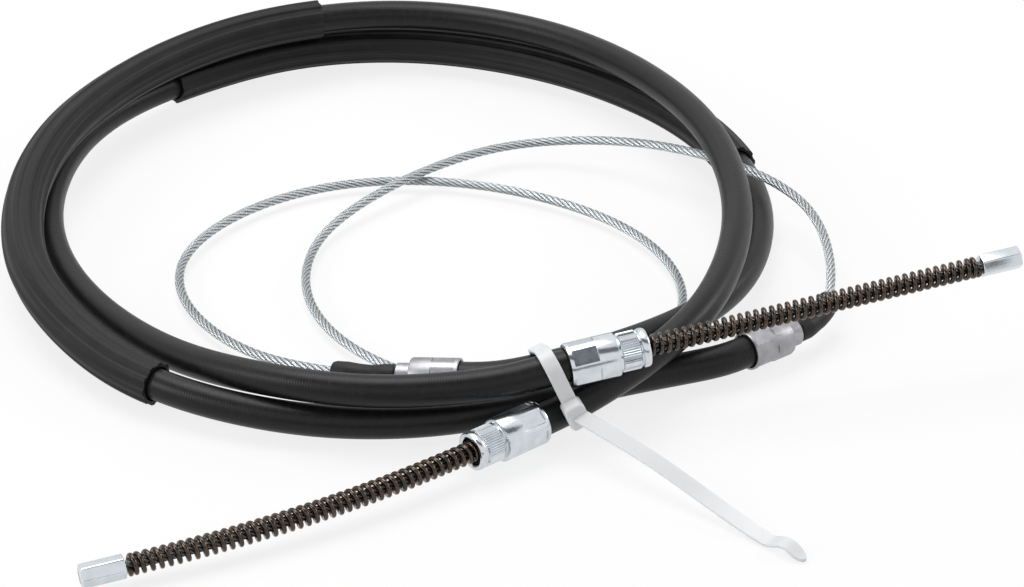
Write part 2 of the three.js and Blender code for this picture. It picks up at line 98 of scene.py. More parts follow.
# Shader building


class Value:
    """A number socket of a shader, which takes part in Python sums."""

    def __init__(self, kit: "ShaderKit", socket: bpy.types.NodeSocket) -> None:
        """Wraps a socket.

        Args:
            kit: the shader that the socket belongs to.
            socket: an output that holds one number.
        """
        self.kit = kit
        self.socket = socket

    def _math(self, operation: str, first: Any, second: Any = 0.0) -> "Value":
        """Adds one Math node.

        Args:
            operation: the node's operation.
            first: its first value or link.
            second: its second value or link.

        Returns:
            The node's result.
        """
        node = self.kit.node("ShaderNodeMath", {"operation": operation}, {0: first, 1: second})
        return Value(self.kit, node.outputs[0])

    def __add__(self, other: Any) -> "Value":
        """Sum."""
        return self._math("ADD", self, other)

    def __sub__(self, other: Any) -> "Value":
        """Difference."""
        return self._math("SUBTRACT", self, other)

    def __rsub__(self, other: Any) -> "Value":
        """Difference from a plain number."""
        return self._math("SUBTRACT", other, self)

    def __mul__(self, other: Any) -> "Value":
        """Product."""
        return self._math("MULTIPLY", self, other)

    __radd__ = __add__
    __rmul__ = __mul__

    def cosine(self) -> "Value":
        """Cosine of an angle in radians."""
        return self._math("COSINE", self)

    def wave(self) -> "Value":
        """A wave between 0 and 1, with a crest at each whole number."""
        return (self * TAU).cosine() * 0.5 + 0.5

    def swing(self, spread: float) -> "Value":
        """How far a noise is from its middle, over a given spread."""
        return (self - NOISE_MIDDLE) * spread

    def above(self, low: float, high: float) -> "Value":
        """Share of the way from one level to another, held between 0 and 1.

        Args:
            low: the level that gives 0.
            high: the level that gives 1.

        Returns:
            The share.
        """
        node = self.kit.node("ShaderNodeMapRange", {"clamp": True}, {0: self, 1: low, 2: high})
        return Value(self.kit, node.outputs[0])


class ShaderKit:
    """One material's node tree, with short calls for the nodes it needs."""

    def __init__(self, name: str) -> None:
        """Starts a material with a Principled shader.

        Args:
            name: the material's name.
        """
        self.material = bpy.data.materials.new(name)
        self.material.use_nodes = True
        self.tree = self.material.node_tree
        self.surface = self.tree.nodes["Principled BSDF"]

    def node(
        self,
        kind: str,
        settings: dict[str, Any] | None = None,
        inputs: dict[Any, Any] | None = None,
    ) -> bpy.types.Node:
        """Adds a node.

        Args:
            kind: the node's type.
            settings: properties, which are set first.
            inputs: a value, socket or Value for each input's name or number.

        Returns:
            The node.
        """
        made = self.tree.nodes.new(kind)
        for key, value in (settings or {}).items():
            setattr(made, key, value)
        for key, value in (inputs or {}).items():
            self.feed(made.inputs[key], value)
        return made

    def feed(self, target: bpy.types.NodeSocket, value: Any) -> None:
        """Sets a socket, or links something to it.

        Args:
            target: the input.
            value: a plain value, a socket or a Value.
        """
        if isinstance(value, Value):
            value = value.socket
        if isinstance(value, bpy.types.NodeSocket):
            self.tree.links.new(value, target)
        else:
            target.default_value = value

    def set(self, **inputs: Any) -> None:
        """Sets the Principled shader's inputs, named with underscores for spaces."""
        for key, value in inputs.items():
            self.feed(self.surface.inputs[key.replace("_", " ")], value)

    def place(self) -> bpy.types.NodeSocket:
        """Object coordinates."""
        return self.node("ShaderNodeTexCoord").outputs["Object"]

    def uv(self) -> bpy.types.NodeSocket:
        """The UV map of a swept piece."""
        return self.node("ShaderNodeUVMap", {"uv_map": UV_MAP}).outputs[0]

    def along_and_round(self) -> tuple[Value, Value]:
        """Splits the UV map of a swept piece.

        Returns:
            Metres along the piece, and the share of the way round it.
        """
        split = self.node("ShaderNodeSeparateXYZ", inputs={0: self.uv()})
        return Value(self, split.outputs[0]), Value(self, split.outputs[1])

    def noise(
        self,
        size: float,
        detail: float = 3.0,
        place: bpy.types.NodeSocket | None = None,
    ) -> Value:
        """Noise with features of a given size.

        Args:
            size: a feature's size in metres.
            detail: the noise's octaves.
            place: coordinates, or the object's where this is left out.

        Returns:
            The noise, about 0.5 on average.
        """
        inputs = {"Vector": place or self.place(), "Scale": 1.0 / size, "Detail": detail}
        return Value(self, self.node("ShaderNodeTexNoise", inputs=inputs).outputs[0])

    def stretched(self, scale: Point3) -> bpy.types.NodeSocket:
        """UV coordinates, scaled unevenly.

        Args:
            scale: factors along the piece and round it, and a third that has no effect.

        Returns:
            The scaled coordinates.
        """
        inputs = {"Vector": self.uv(), "Scale": scale}
        return self.node("ShaderNodeMapping", inputs=inputs).outputs[0]

    def blend(self, share: Value, first: Point3, second: Point3) -> bpy.types.NodeSocket:
        """Mixes two colours.

        Args:
            share: 0 for the first colour, 1 for the second.
            first: a colour.
            second: a colour.

        Returns:
            The mixed colour.
        """
        # The colour sockets come after those for numbers and vectors.
        inputs = {0: share, 6: (*first, 1.0), 7: (*second, 1.0)}
        return self.node("ShaderNodeMix", {"data_type": "RGBA"}, inputs).outputs[2]

    def bump(self, height: Value, depth: float) -> None:
        """Bumps the surface.

        Args:
            height: the height, from 0 to 1.
            depth: the real depth of 1, in metres.
        """
        inputs = {"Height": height, "Distance": depth, "Strength": 1.0}
        self.set(Normal=self.node("ShaderNodeBump", inputs=inputs).outputs[0])


@dataclass(frozen=True)
class Finish(ABC):
    """A finish of the cable's pieces."""

    slot: Slot
    colour: Point3
    roughness: float
    metallic: float = 0.0
    gloss: float = 0.5
    label: str = "looks"

    def material(self) -> bpy.types.Material:
        """Makes the material, or finds the one made before.

        Returns:
            The material.
        """
        name = f"{self.slot.value}_{self.label}"
        found = bpy.data.materials.get(name)
        if found:
            return found
        kit = ShaderKit(name)
        kit.set(Base_Color=(*self.colour, 1.0), Roughness=self.roughness, Metallic=self.metallic)
        kit.set(Specular_IOR_Level=self.gloss)
        self.pattern(kit)
        return kit.material

    def shaded(self, factor: float) -> Point3:
        """The finish's colour, made paler or darker."""
        return tuple(factor * c for c in self.colour)

    @abstractmethod
    def pattern(self, kit: ShaderKit) -> None:
        """Adds what varies over the surface.

        Args:
            kit: the shader, with its plain values set.
        """


@dataclass(frozen=True)
class JacketFinish(Finish):
    """Black plastic jacket that shows the winding below it as fine rings."""

    pitch: float = 0.95 * MM
    ring_depth: float = 0.05 * MM
    wobble_size: float = 6 * MM
    wobble_share: float = 0.35
    scuff_size: float = 2.2 * MM
    scuff_stretch: Point3 = (1.0, 0.02, 1.0)
    scuff_dulling: float = 0.16
    patch_size: float = 22 * MM
    patch_dulling: float = 0.14
    dust: float = 2.6

    def pattern(self, kit: ShaderKit) -> None:
        """Rings of the winding, faint scuffs and a little dust.

        Args:
            kit: the shader, with its plain values set.
        """
        along, around = kit.along_and_round()
        wobble = kit.noise(self.wobble_size, 2.0)
        rings = (along * (1 / self.pitch) + around + wobble * self.wobble_share).wave()
        scuffs = kit.noise(self.scuff_size, 6.0, kit.stretched(self.scuff_stretch))
        patches = kit.noise(self.patch_size, 2.0)
        dusty = scuffs.above(0.5, 0.85) * patches
        kit.set(Base_Color=kit.blend(dusty, self.colour, self.shaded(self.dust)))
        dulling = scuffs.swing(self.scuff_dulling) + patches.swing(self.patch_dulling)
        kit.set(Roughness=self.roughness + dulling)
        kit.bump(rings * (0.35 + patches * 0.65) + scuffs * 0.3, self.ring_depth)


@dataclass(frozen=True)
class SleeveFinish(Finish):
    """Matte rubber with fine lines left by extrusion."""

    line_stretch: Point3 = (12.0, 46.0, 1.0)
    chalk_size: float = 9 * MM
    chalk_dulling: float = 0.18
    grain_size: float = 0.35 * MM
    depth: float = 0.09 * MM
    dust: float = 2.8

    def pattern(self, kit: ShaderKit) -> None:
        """Extrusion lines and chalky patches.

        Args:
            kit: the shader, with its plain values set.
        """
        lines = kit.noise(1.0, 4.0, kit.stretched(self.line_stretch))
        chalk = kit.noise(self.chalk_size, 5.0)
        grain = kit.noise(self.grain_size, 2.0)
        chalky = chalk.above(0.45, 0.8) * 0.6
        kit.set(Base_Color=kit.blend(chalky, self.colour, self.shaded(self.dust)))
        kit.set(Roughness=self.roughness + chalk.swing(self.chalk_dulling))
        kit.bump(lines * 0.7 + grain * 0.3, self.depth)


@dataclass(frozen=True)
class PlatedFinish(Finish):
    """Bright plated or cast metal."""

    cloud_size: float = 4 * MM
    mark_size: float = 0.6 * MM
    depth: float = 0.02 * MM
    dulling: float = 0.14
    shade: float = 0.72

    def pattern(self, kit: ShaderKit) -> None:
        """Clouded plating and fine handling marks.

        Args:
            kit: the shader, with its plain values set.
        """
        clouds = kit.noise(self.cloud_size, 4.0)
        marks = kit.noise(self.mark_size, 5.0)
        cloudy = clouds.above(0.35, 0.75)
        kit.set(Base_Color=kit.blend(cloudy, self.shaded(self.shade), self.colour))
        kit.set(Roughness=self.roughness + marks.swing(self.dulling) + clouds.swing(self.dulling))
        kit.bump(marks, self.depth)


@dataclass(frozen=True)
class RopeFinish(Finish):
    """Galvanised wires, with painted shade in the grooves between the strands."""

    strands: int = 7
    wires: int = 4
    wire_lay: float = 9 * MM
    wire_depth: float = 0.12 * MM
    groove_shade: float = 0.28
    grime_size: float = 7 * MM
    grime_dulling: float = 0.2

    def pattern(self, kit: ShaderKit) -> None:
        """Painted shade in the grooves and between the wires, lighter on the crests, and the wires
        of each strand as fine slanting ridges.

        Args:
            kit: the shader, with its plain values set.
        """
        along, around = kit.along_and_round()
        crests = (around * self.strands).wave()
        slant = around * (self.strands * self.wires) + along * (self.strands / self.wire_lay)
        wires = slant.wave()
        grime = kit.noise(self.grime_size, 4.0)
        # Painted shade: darker in the grooves and between the wires, lighter on the crests; the
        # grime noise varies the tone at random.
        lit = crests.above(0.02, 0.4) * (0.62 + wires * 0.38) * (0.75 + grime * 0.35)
        kit.set(Base_Color=kit.blend(lit, self.shaded(self.groove_shade), self.colour))
        kit.set(Roughness=self.roughness + grime.swing(self.grime_dulling))
        kit.bump(wires, self.wire_depth)


@dataclass(frozen=True)
class SpringFinish(Finish):
    """Oiled bronze-brown spring wire."""

    tint_size: float = 5 * MM
    warmth: Point3 = (1.7, 1.45, 1.25)
    line_stretch: Point3 = (90.0, 30.0, 1.0)
    line_depth: float = 0.03 * MM
    line_dulling: float = 0.2

    def pattern(self, kit: ShaderKit) -> None:
        """Drawing lines and heat-tinted patches.

        Args:
            kit: the shader, with its plain values set.
        """
        tint = kit.noise(self.tint_size)
        lines = kit.noise(1.0, place=kit.stretched(self.line_stretch))
        warm = tuple(c * w for c, w in zip(self.colour, self.warmth))
        kit.set(Base_Color=kit.blend(tint.above(0.35, 0.7), self.colour, warm))
        kit.set(Roughness=self.roughness + lines.swing(self.line_dulling))
        kit.bump(lines, self.line_depth)


@dataclass(frozen=True)
class MouldedFinish(Finish):
    """Smooth moulded rubber or nylon."""

    translucency: float = 0.0
    spread: float = 1.5 * MM
    grain_size: float = 0.8 * MM
    grain_depth: float = 0.02 * MM
    grain_dulling: float = 0.16

    def pattern(self, kit: ShaderKit) -> None:
        """A faint moulding grain, and light that spreads below the surface.

        Args:
            kit: the shader, with its plain values set.
        """
        grain = kit.noise(self.grain_size)
        kit.set(Roughness=self.roughness + grain.swing(self.grain_dulling))
        kit.set(Subsurface_Weight=self.translucency, Subsurface_Scale=self.spread)
        kit.set(Subsurface_Radius=(1.0, 1.0, 1.0))
        kit.bump(grain, self.grain_depth)


JACKET = JacketFinish(Slot.JACKET, (0.0075, 0.0075, 0.008), 0.37, gloss=0.24)
SLEEVE_RUBBER = SleeveFinish(Slot.SLEEVE, (0.0075, 0.0075, 0.008), 0.48, gloss=0.22)
ZINC = PlatedFinish(Slot.ZINC, (0.7, 0.74, 0.78), 0.2, 1.0, dulling=0.1, shade=0.86)
ALUMINIUM = PlatedFinish(Slot.ALUMINIUM, (0.42, 0.42, 0.44), 0.42, 1.0, depth=0.05 * MM)
ROPE_WIRE = RopeFinish(Slot.ROPE, (0.64, 0.68, 0.7), 0.3, 1.0)
# Rope inside the springs, coloured darker than the bare loop.
DARKENED_END_ROPE = RopeFinish(Slot.ROPE, (0.22, 0.21, 0.2), 0.26, 1.0, label="darkened_end")
SPRING_STEEL = SpringFinish(Slot.SPRING, (0.062, 0.051, 0.044), 0.18, 1.0)
BOOT_RUBBER = MouldedFinish(Slot.BOOT, (0.009, 0.009, 0.01), 0.48, gloss=0.25)
NYLON = MouldedFinish(Slot.NYLON, (0.715, 0.725, 0.74), 0.32, translucency=0.35)


# The cable's line


@dataclass(frozen=True)
class Station:
    """A place on a line, with the two directions across it.

    Attributes:
        origin: the place.
        side: the first direction across.
        up: the second direction across.
    """

    origin: Vector
    side: Vector
    up: Vector

    @property
    def along(self) -> Vector:
        """The line's own direction."""
        return self.side.cross(self.up)

    def at(self, x: float, y: float) -> Vector:
        """A point of the plane across the line.

        Args:
            x: distance to the side.
            y: distance upwards.

        Returns:
            The point.
        """
        return self.origin + self.side * x + self.up * y


class Route:
    """A smooth line: a uniform cubic B-spline that starts and ends on its guide points."""

    steps_per_span = 40

    def __init__(self, guides: Sequence[Vector]) -> None:
        """Measures the line.

        Args:
            guides: the guide points.
        """
        self.guides = list(guides)
        count = (len(guides) - 1) * self.steps_per_span
        self.times = np.linspace(0.0, len(guides) - 1, count + 1)
        points = np.array([self._point(t) for t in self.times])
        gaps = np.linalg.norm(np.diff(points, axis=0), axis=1)
        self.lengths = np.concatenate(([0.0], np.cumsum(gaps)))
        self.length = float(self.lengths[-1])

    def _guide(self, index: int) -> Vector:
        """Finds a guide point, or its mirror image past an end.

        Args:
            index: the point's number, which may lie one past an end.

        Returns:
            The point.
        """
        last = len(self.guides) - 1
        if index < 0:
            return self.guides[0] * 2 - self.guides[1]
        if index > last:
            return self.guides[last] * 2 - self.guides[last - 1]
        return self.guides[index]

    def _sum(self, time: float, weights: Callable[[float], Sequence[float]]) -> Vector:
        """Adds up the four guide points round a time.

        Args:
            time: spans from the start.
            weights: gives the four weights for the share of a span.

        Returns:
            The sum.
        """
        span = min(int(time), len(self.guides) - 2)
        parts = weights(time - span)
        return sum((self._guide(span - 1 + k) * w for k, w in enumerate(parts)), Vector((0, 0, 0)))

    def _point(self, time: float) -> Vector:
        """Finds a place on the line.

        Args:
            time: spans from the start.

        Returns:
            The place.
        """
        return self._sum(
            time,
            lambda f: (
                (1 - f) ** 3 / 6,
                (3 * f**3 - 6 * f**2 + 4) / 6,
                (-3 * f**3 + 3 * f**2 + 3 * f + 1) / 6,
                f**3 / 6,
            ),
        )

    def _direction(self, time: float) -> Vector:
        """Finds the line's direction.

        Args:
            time: spans from the start.

        Returns:
            The unit vector.
        """
        return self._sum(
            time,
            lambda f: (
                -((1 - f) ** 2) / 2,
                (3 * f**2 - 4 * f) / 2,
                (-3 * f**2 + 2 * f + 1) / 2,
                f**2 / 2,
            ),
        ).normalized()

    def distance_of(self, index: int) -> float:
        """Distance along the line to a guide point."""
        return float(self.lengths[index * self.steps_per_span])

    def station(self, distance: float) -> Station:
        """A place on the line.

        Args:
            distance: metres from the line's start.

        Returns:
            The place, with its second direction as near upright as it can be.
        """
        time = float(np.interp(distance, self.lengths, self.times))
        along = self._direction(time)
        side = UP.cross(along).normalized()
        return Station(self._point(time), side, along.cross(side))

    def stations(self, start: float, end: float, step: float) -> list[Station]:
        """Places at an even spacing.

        Args:
            start: distance of the first one.
            end: distance of the last one.
            step: the spacing to keep to.

        Returns:
            The places, in order.
        """
        count = max(2, round(abs(end - start) / step))
        return [self.station(d) for d in np.linspace(start, end, count + 1)]

    def placing(self, distance: float, direction: int) -> Matrix:
        """Turns and moves a piece modelled along Z onto the line.

        Args:
            distance: where the piece's origin goes.
            direction: 1 for along the line, -1 for back.

        Returns:
            The placing.
        """
        station = self.station(distance)
        turn = UP.rotation_difference(station.along * direction)
        return Matrix.Translation(station.origin) @ turn.to_matrix().to_4x4()


def heading(azimuth: float, pitch: float) -> Vector:
    """Unit vector.

    Args:
        azimuth: turn from +X towards +Y, in degrees.
        pitch: rise, in degrees.

    Returns:
        The vector.
    """
    a, p = math.radians(azimuth), math.radians(pitch)
    return Vector((math.cos(p) * math.cos(a), math.cos(p) * math.sin(a), math.sin(p)))


@dataclass(frozen=True)
class BrakeEndSizes:
    """Sizes of a brake end, with its ferrule, bush, spring and tip.

    Attributes:
        rear: middle of the ferrule's rear face.
        azimuth: the way its nose points, in degrees.
        pitch: the nose's rise, in degrees.
        bend: the spring's whole bend, in degrees.
        spring_length: from the bush to the tip.
    """

    rear: Point3
    azimuth: float
    pitch: float
    bend: float
    spring_length: float
    body_length: float = 17 * MM
    neck_length: float = 1 * MM
    knurl_length: float = 6.5 * MM
    rim_length: float = 3.2 * MM
    mouth_depth: float = 6 * MM
    seat_depth: float = 12 * MM
    bush_thickness: float = 2 * MM
    tip_length: float = 14 * MM
    segments: int = 6

    @property
    def ferrule_length(self) -> float:
        """From the rear face to the mouth."""
        return self.body_length + self.neck_length + self.knurl_length + self.rim_length

    @property
    def bush_from(self) -> float:
        """From the rear face to the bush."""
        return self.ferrule_length - self.mouth_depth + SEAT_GAP

    @property
    def spring_from(self) -> float:
        """From the rear face to the spring."""
        return self.bush_from + self.bush_thickness + SEAT_GAP

    @property
    def tip_from(self) -> float:
        """From the rear face to the tip."""
        return self.spring_from + self.spring_length + SEAT_GAP

    @property
    def length(self) -> float:
        """From the rear face to the tip's end."""
        return self.tip_from + self.tip_length

    def guides(self) -> list[Vector]:
        """Sets out guide points, from inside the conduit to the tip's end.

        Returns:
            The points, in order.
        """
        start, straight = Vector(self.rear), heading(self.azimuth, self.pitch)
        shares = (-0.4, 0.0, 0.5, 1.0)
        points = [start + straight * (share * self.ferrule_length) for share in shares]
        step = (self.tip_from - self.ferrule_length) / self.segments
        turn = self.bend / self.segments
        angle, cursor = self.azimuth + turn / 2, points[-1]
        for _ in range(self.segments):
            cursor = cursor + heading(angle, self.pitch) * step
            points.append(cursor)
            angle += turn
        last = heading(angle - turn / 2, self.pitch) * (self.tip_length / 2)
        return [*points, cursor + last, cursor + last * 2]


@dataclass(frozen=True)
class OutletEndSizes:
    """Sizes of an outlet end.

    Attributes:
        inlet: middle of the ferrule's conduit face.
        azimuth: the way its spigot points, in degrees.
        pitch: the spigot's rise, in degrees.
    """

    inlet: Point3
    azimuth: float
    pitch: float
    barrel_length: float = 17 * MM
    spigot_length: float = 5 * MM
    seat_depth: float = 15 * MM
    boot_length: float = 23 * MM

    @property
    def length(self) -> float:
        """Barrel and spigot."""
        return self.barrel_length + self.spigot_length

    def guides(self) -> list[Vector]:
        """Guide points that hold the line straight through the ferrule."""
        start, straight = Vector(self.inlet), heading(self.azimuth, self.pitch)
        return [start + straight * (share * self.length) for share in OUTLET_SHARES]


BRAKE_END_A = BrakeEndSizes((0.0218, -0.0975, 0.0246), 16.3, 5.7, 0, 121.4 * MM)
BRAKE_END_B = BrakeEndSizes((0.0124, -0.1059, 0.0082), -142, -1.4, -17, 124.7 * MM)
OUTLET_END_A = OutletEndSizes((-0.013, -0.0819, 0.0104), 169, -5.5)
OUTLET_END_B = OutletEndSizes((0.0836, -0.0589, 0.0069), 36, 1)

# Guide points between the four ends, from brake end A to brake end B.
CONDUIT_A_GUIDES: tuple[Point3, ...] = (
    (-0.0005, -0.1018, 0.02), (-0.041, -0.106, 0.0185), (-0.0765, -0.0945, 0.0173),
    (-0.1055, -0.071, 0.01), (-0.1305, -0.043, 0.006), (-0.1515, -0.0125, 0.0057),
    (-0.165, 0.023, 0.0057), (-0.169, 0.06, 0.006), (-0.163, 0.098, 0.0079),
    (-0.1455, 0.1305, 0.008), (-0.1175, 0.156, 0.008), (-0.0865, 0.1765, 0.008),
    (-0.0485, 0.1835, 0.008), (-0.0115, 0.1775, 0.008), (0.023, 0.162, 0.008),
    (0.052, 0.1385, 0.008), (0.076, 0.1095, 0.008), (0.0905, 0.0745, 0.008),
    (0.0965, 0.0385, 0.007), (0.0895, -0.002, 0.0063), (0.073, -0.032, 0.0075),
    (0.048, -0.0605, 0.012), (0.0135, -0.0805, 0.0125),
)
ROPE_GUIDES: tuple[Point3, ...] = (
    (-0.079, -0.0605, 0.0035), (-0.099, -0.04, 0.002), (-0.1135, -0.0155, 0.002),
    (-0.117, 0.013, 0.002), (-0.105, 0.04, 0.002), (-0.085, 0.06, 0.002),
    (-0.06, 0.0725, 0.002), (-0.031, 0.0755, 0.002), (-0.003, 0.07, 0.002),
    (0.022, 0.058, 0.002), (0.045, 0.04, 0.002), (0.06, 0.0165, 0.002),
    (0.0665, -0.012, 0.002), (0.06, -0.04, 0.002), (0.041, -0.0605, 0.0025),
    (0.019, -0.081, 0.004), (-0.011, -0.0775, 0.003), (-0.0355, -0.064, 0.002),
    (-0.056, -0.0445, 0.002), (-0.0685, -0.018, 0.002), (-0.071, 0.01, 0.002),
    (-0.0645, 0.038, 0.002), (-0.0455, 0.0595, 0.0055), (-0.025, 0.078, 0.0065),
    (-0.0015, 0.0965, 0.0055), (0.027, 0.097, 0.008), (0.0525, 0.084, 0.0135),
    (0.073, 0.066, 0.0185), (0.0965, 0.0495, 0.018), (0.113, 0.0275, 0.0165),
    (0.1175, -0.0015, 0.0135), (0.1155, -0.026, 0.01),
)
CONDUIT_B_GUIDES: tuple[Point3, ...] = (
    (0.056, -0.07, 0.0057), (0.0235, -0.085, 0.0075), (-0.007, -0.1005, 0.0065),
    (-0.044, -0.104, 0.0057), (-0.077, -0.099, 0.006), (-0.112, -0.086, 0.008),
    (-0.1375, -0.063, 0.0085), (-0.159, -0.0335, 0.013), (-0.1705, -0.002, 0.015),
    (-0.174, 0.0345, 0.018), (-0.168, 0.068, 0.022), (-0.157, 0.1035, 0.02),
    (-0.1375, 0.13, 0.0225), (-0.11, 0.1555, 0.0235), (-0.0805, 0.1715, 0.0235),
    (-0.0455, 0.182, 0.022), (-0.0105, 0.176, 0.022), (0.0215, 0.1605, 0.022),
    (0.0465, 0.135, 0.023), (0.0645, 0.105, 0.0245), (0.0775, 0.072, 0.026),
    (0.0845, 0.037, 0.025), (0.085, 0.002, 0.0235), (0.078, -0.032, 0.0215),
    (0.0645, -0.0655, 0.02), (0.036, -0.0915, 0.0135),
)


class CableLine:
    """The whole line of the cable and the distances on it at which its pieces meet."""

    def __init__(self) -> None:
        """Joins the ends' guide points with those between them."""
        to_outlet_a = [*reversed(BRAKE_END_A.guides()), *map(Vector, CONDUIT_A_GUIDES)]
        to_outlet_b = [*to_outlet_a, *OUTLET_END_A.guides(), *map(Vector, ROPE_GUIDES)]
        to_outlet_b_end = [*to_outlet_b, *reversed(OUTLET_END_B.guides())]
        guides = [*to_outlet_b_end, *map(Vector, CONDUIT_B_GUIDES), *BRAKE_END_B.guides()]
        self.route = Route([point - COIL_CENTRE for point in guides])
        self.rear_a = BRAKE_END_A.length
        self.rear_b = self.route.length - BRAKE_END_B.length
        first, second = OUTLET_SHARES.index(0.0), OUTLET_SHARES[::-1].index(0.0)
        self.inlet_a = self.route.distance_of(len(to_outlet_a) + first)
        self.inlet_b = self.route.distance_of(len(to_outlet_b) + second)

    def rear(self, side: Side) -> tuple[float, int]:
        """Distance of a brake ferrule's rear face, and the way its nose points."""
        return (self.rear_a, -1) if side is Side.A else (self.rear_b, 1)

    def inlet(self, side: Side) -> tuple[float, int]:
        """Distance of an outlet ferrule's conduit face, and the way its spigot points."""
        return (self.inlet_a, 1) if side is Side.A else (self.inlet_b, -1)


# Mesh building


def ring(radius: float, count: int) -> list[Point2]:
    """Points of a circle.

    Args:
        radius: the circle's radius.
        count: how many points.

    Returns:
        The points, anticlockwise.
    """
    angles = (TAU * k / count for k in range(count))
    return [(radius * math.cos(a), radius * math.sin(a)) for a in angles]


def roll_tube(
    stations: Sequence[Station],
    section: Callable[[int], Sequence[Point2]],
    closed: bool = False,
) -> bmesh.types.BMesh:
    """Rolls a flat grid into a tube along a line.

    Args:
        stations: a place for each ring.
        section: gives the ring's outline for a station's number.
        closed: True for a line that ends where it starts.

    Returns:
        The tube, capped at its ends unless it is closed, with metres along it and the
        share of the way round it as its UV map.
    """
    rings = [section(k) for k in range(len(stations))]
    count, spans = len(rings[0]), len(stations) - 1
    bm = bmesh.new()
    bm.loops.layers.uv.new(UV_MAP)
    bmesh.ops.create_grid(bm, x_segments=spans, y_segments=count, size=0.5, calc_uvs=True)
    seam: list[bmesh.types.BMVert] = []
    for vert in bm.verts:
        i, j = round((vert.co.x + 0.5) * spans), round((vert.co.y + 0.5) * count)
        vert.co = stations[i].at(*rings[i][j % count])
        if j in (0, count) or (closed and i in (0, spans)):
            seam.append(vert)
    length = sum((b.origin - a.origin).length for a, b in zip(stations, stations[1:]))
    layer = bm.loops.layers.uv.active
    for face in bm.faces:
        for loop in face.loops:
            loop[layer].uv.x *= length
    bmesh.ops.remove_doubles(bm, verts=seam, dist=MERGE_GAP)
    if not closed:
        rim = [edge for edge in bm.edges if edge.is_boundary]
        bmesh.ops.holes_fill(bm, edges=rim, sides=0)
    bmesh.ops.recalc_face_normals(bm, faces=bm.faces)
    return bm


def turn_profile(
    profile: Sequence[Point2],
    steps: int,
    reshape: Callable[[float, float, float], float] | None = None,
) -> bmesh.types.BMesh:
    """Spins a closed profile about Z.

    Args:
        profile: (radius, height) pairs, in order round the section.
        steps: how many steps the turn takes.
        reshape: gives a new radius for a radius, an angle and a height.

    Returns:
        The turned piece.
    """
    bm = bmesh.new()
    verts = [bm.verts.new((radius, 0.0, height)) for radius, height in profile]
    edges = [bm.edges.new((a, b)) for a, b in zip(verts, [*verts[1:], verts[0]])]
    spin = {"cent": (0, 0, 0), "axis": (0, 0, 1), "angle": TAU, "steps": steps}
    bmesh.ops.spin(bm, geom=[*verts, *edges], use_merge=True, use_duplicate=False, **spin)
    bmesh.ops.remove_doubles(bm, verts=bm.verts, dist=MERGE_GAP)
    if reshape:
        for vert in bm.verts:
            radius, angle = vert.co.xy.length, math.atan2(vert.co.y, vert.co.x)
            if radius > 0:
                vert.co.xy *= reshape(radius, angle, vert.co.z) / radius
    bmesh.ops.recalc_face_normals(bm, faces=bm.faces)
    return bm


def soften(bm: bmesh.types.BMesh, radius: float, angle: float, segments: int) -> None:
    """Rounds a piece's sharp edges.

    Args:
        bm: the piece.
        radius: the rounding's width.
        angle: the least angle between faces that counts as sharp, in degrees.
        segments: faces across the rounding.
    """
    least = math.radians(angle)
    sharp = [edge for edge in bm.edges if edge.is_manifold and edge.calc_face_angle() > least]
    bmesh.ops.bevel(
        bm,
        geom=sharp,
        offset=radius,
        offset_type="OFFSET",
        affect="EDGES",
        segments=segments,
        profile=0.5,
        material=-1,
        clamp_overlap=True,
    )


def make_piece(
    name: str,
    bm: bmesh.types.BMesh,
    finish: Finish,
    replaces: Iterable[str],
    crease: float = 32.0,
) -> bpy.types.Object:
    """Finishes a mesh as a piece of the object.

    Args:
        name: the piece's name.
        bm: its mesh, which is freed.
        finish: its finish.
        replaces: the CAD nodes that it stands for.
        crease: the angle in degrees above which an edge stays sharp.

    Returns:
        The piece.
    """
    mesh = bpy.data.meshes.new(name)
    bm.to_mesh(mesh)
    bm.free()
    mesh.shade_smooth()
    mesh.set_sharp_from_angle(angle=math.radians(crease))
    mesh.materials.append(finish.material())
    piece = bpy.data.objects.new(name, mesh)
    bpy.context.scene.collection.objects.link(piece)
    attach(piece, ROOT)
    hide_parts(*replaces)
    log.info("%s: %d faces", name, len(mesh.polygons))
    return piece


def crimp(radius: float, angle: float, flat: float) -> float:
    """Radius of a round barrel after its flats are pressed in.

    Args:
        radius: the radius before.
        angle: the place round the barrel.
        flat: distance of the flats from the axis.

    Returns:
        The radius after.
    """
    wedge = TAU / CRIMP_FLATS
    off = (angle + wedge / 2) % wedge - wedge / 2
    return min(radius, flat / math.cos(off))


# Sub-assemblies


@dataclass
class SubAssembly(ABC):
    """A group of pieces that is made together, on the cable's line."""

    line: CableLine

    @abstractmethod
    def build(self) -> list[bpy.types.Object]:
        """Makes the pieces."""


@dataclass
class Conduit(SubAssembly):
    """A jacketed conduit, from its brake ferrule to its outlet ferrule."""

    side: Side
    diameter: float = 11 * MM
    facets: int = 32
    step: float = 3 * MM

    def span(self) -> tuple[float, float]:
        """Finds the conduit's ends, inside both ferrules.

        Returns:
            Distances of its brake end and outlet end.
        """
        rear, nose = self.line.rear(self.side)
        inlet, spigot = self.line.inlet(self.side)
        ends = BRAKE_END_A if self.side is Side.A else BRAKE_END_B
        outlet = OUTLET_END_A if self.side is Side.A else OUTLET_END_B
        brake_seat = ends.seat_depth - SEAT_GAP
        outlet_seat = outlet.seat_depth - SEAT_GAP
        return rear + nose * brake_seat, inlet + spigot * outlet_seat

    def build(self) -> list[bpy.types.Object]:
        """Returns:
            The one piece.
        """
        start, end = self.span()
        stations = self.line.route.stations(start, end, self.step)
        outline = ring(self.diameter / 2, self.facets)
        node = f"conduit_{self.side.value}"
        piece = make_piece(f"{node}_jacket", roll_tube(stations, lambda _: outline), JACKET, [node])
        abs(end - start)
        return [piece]


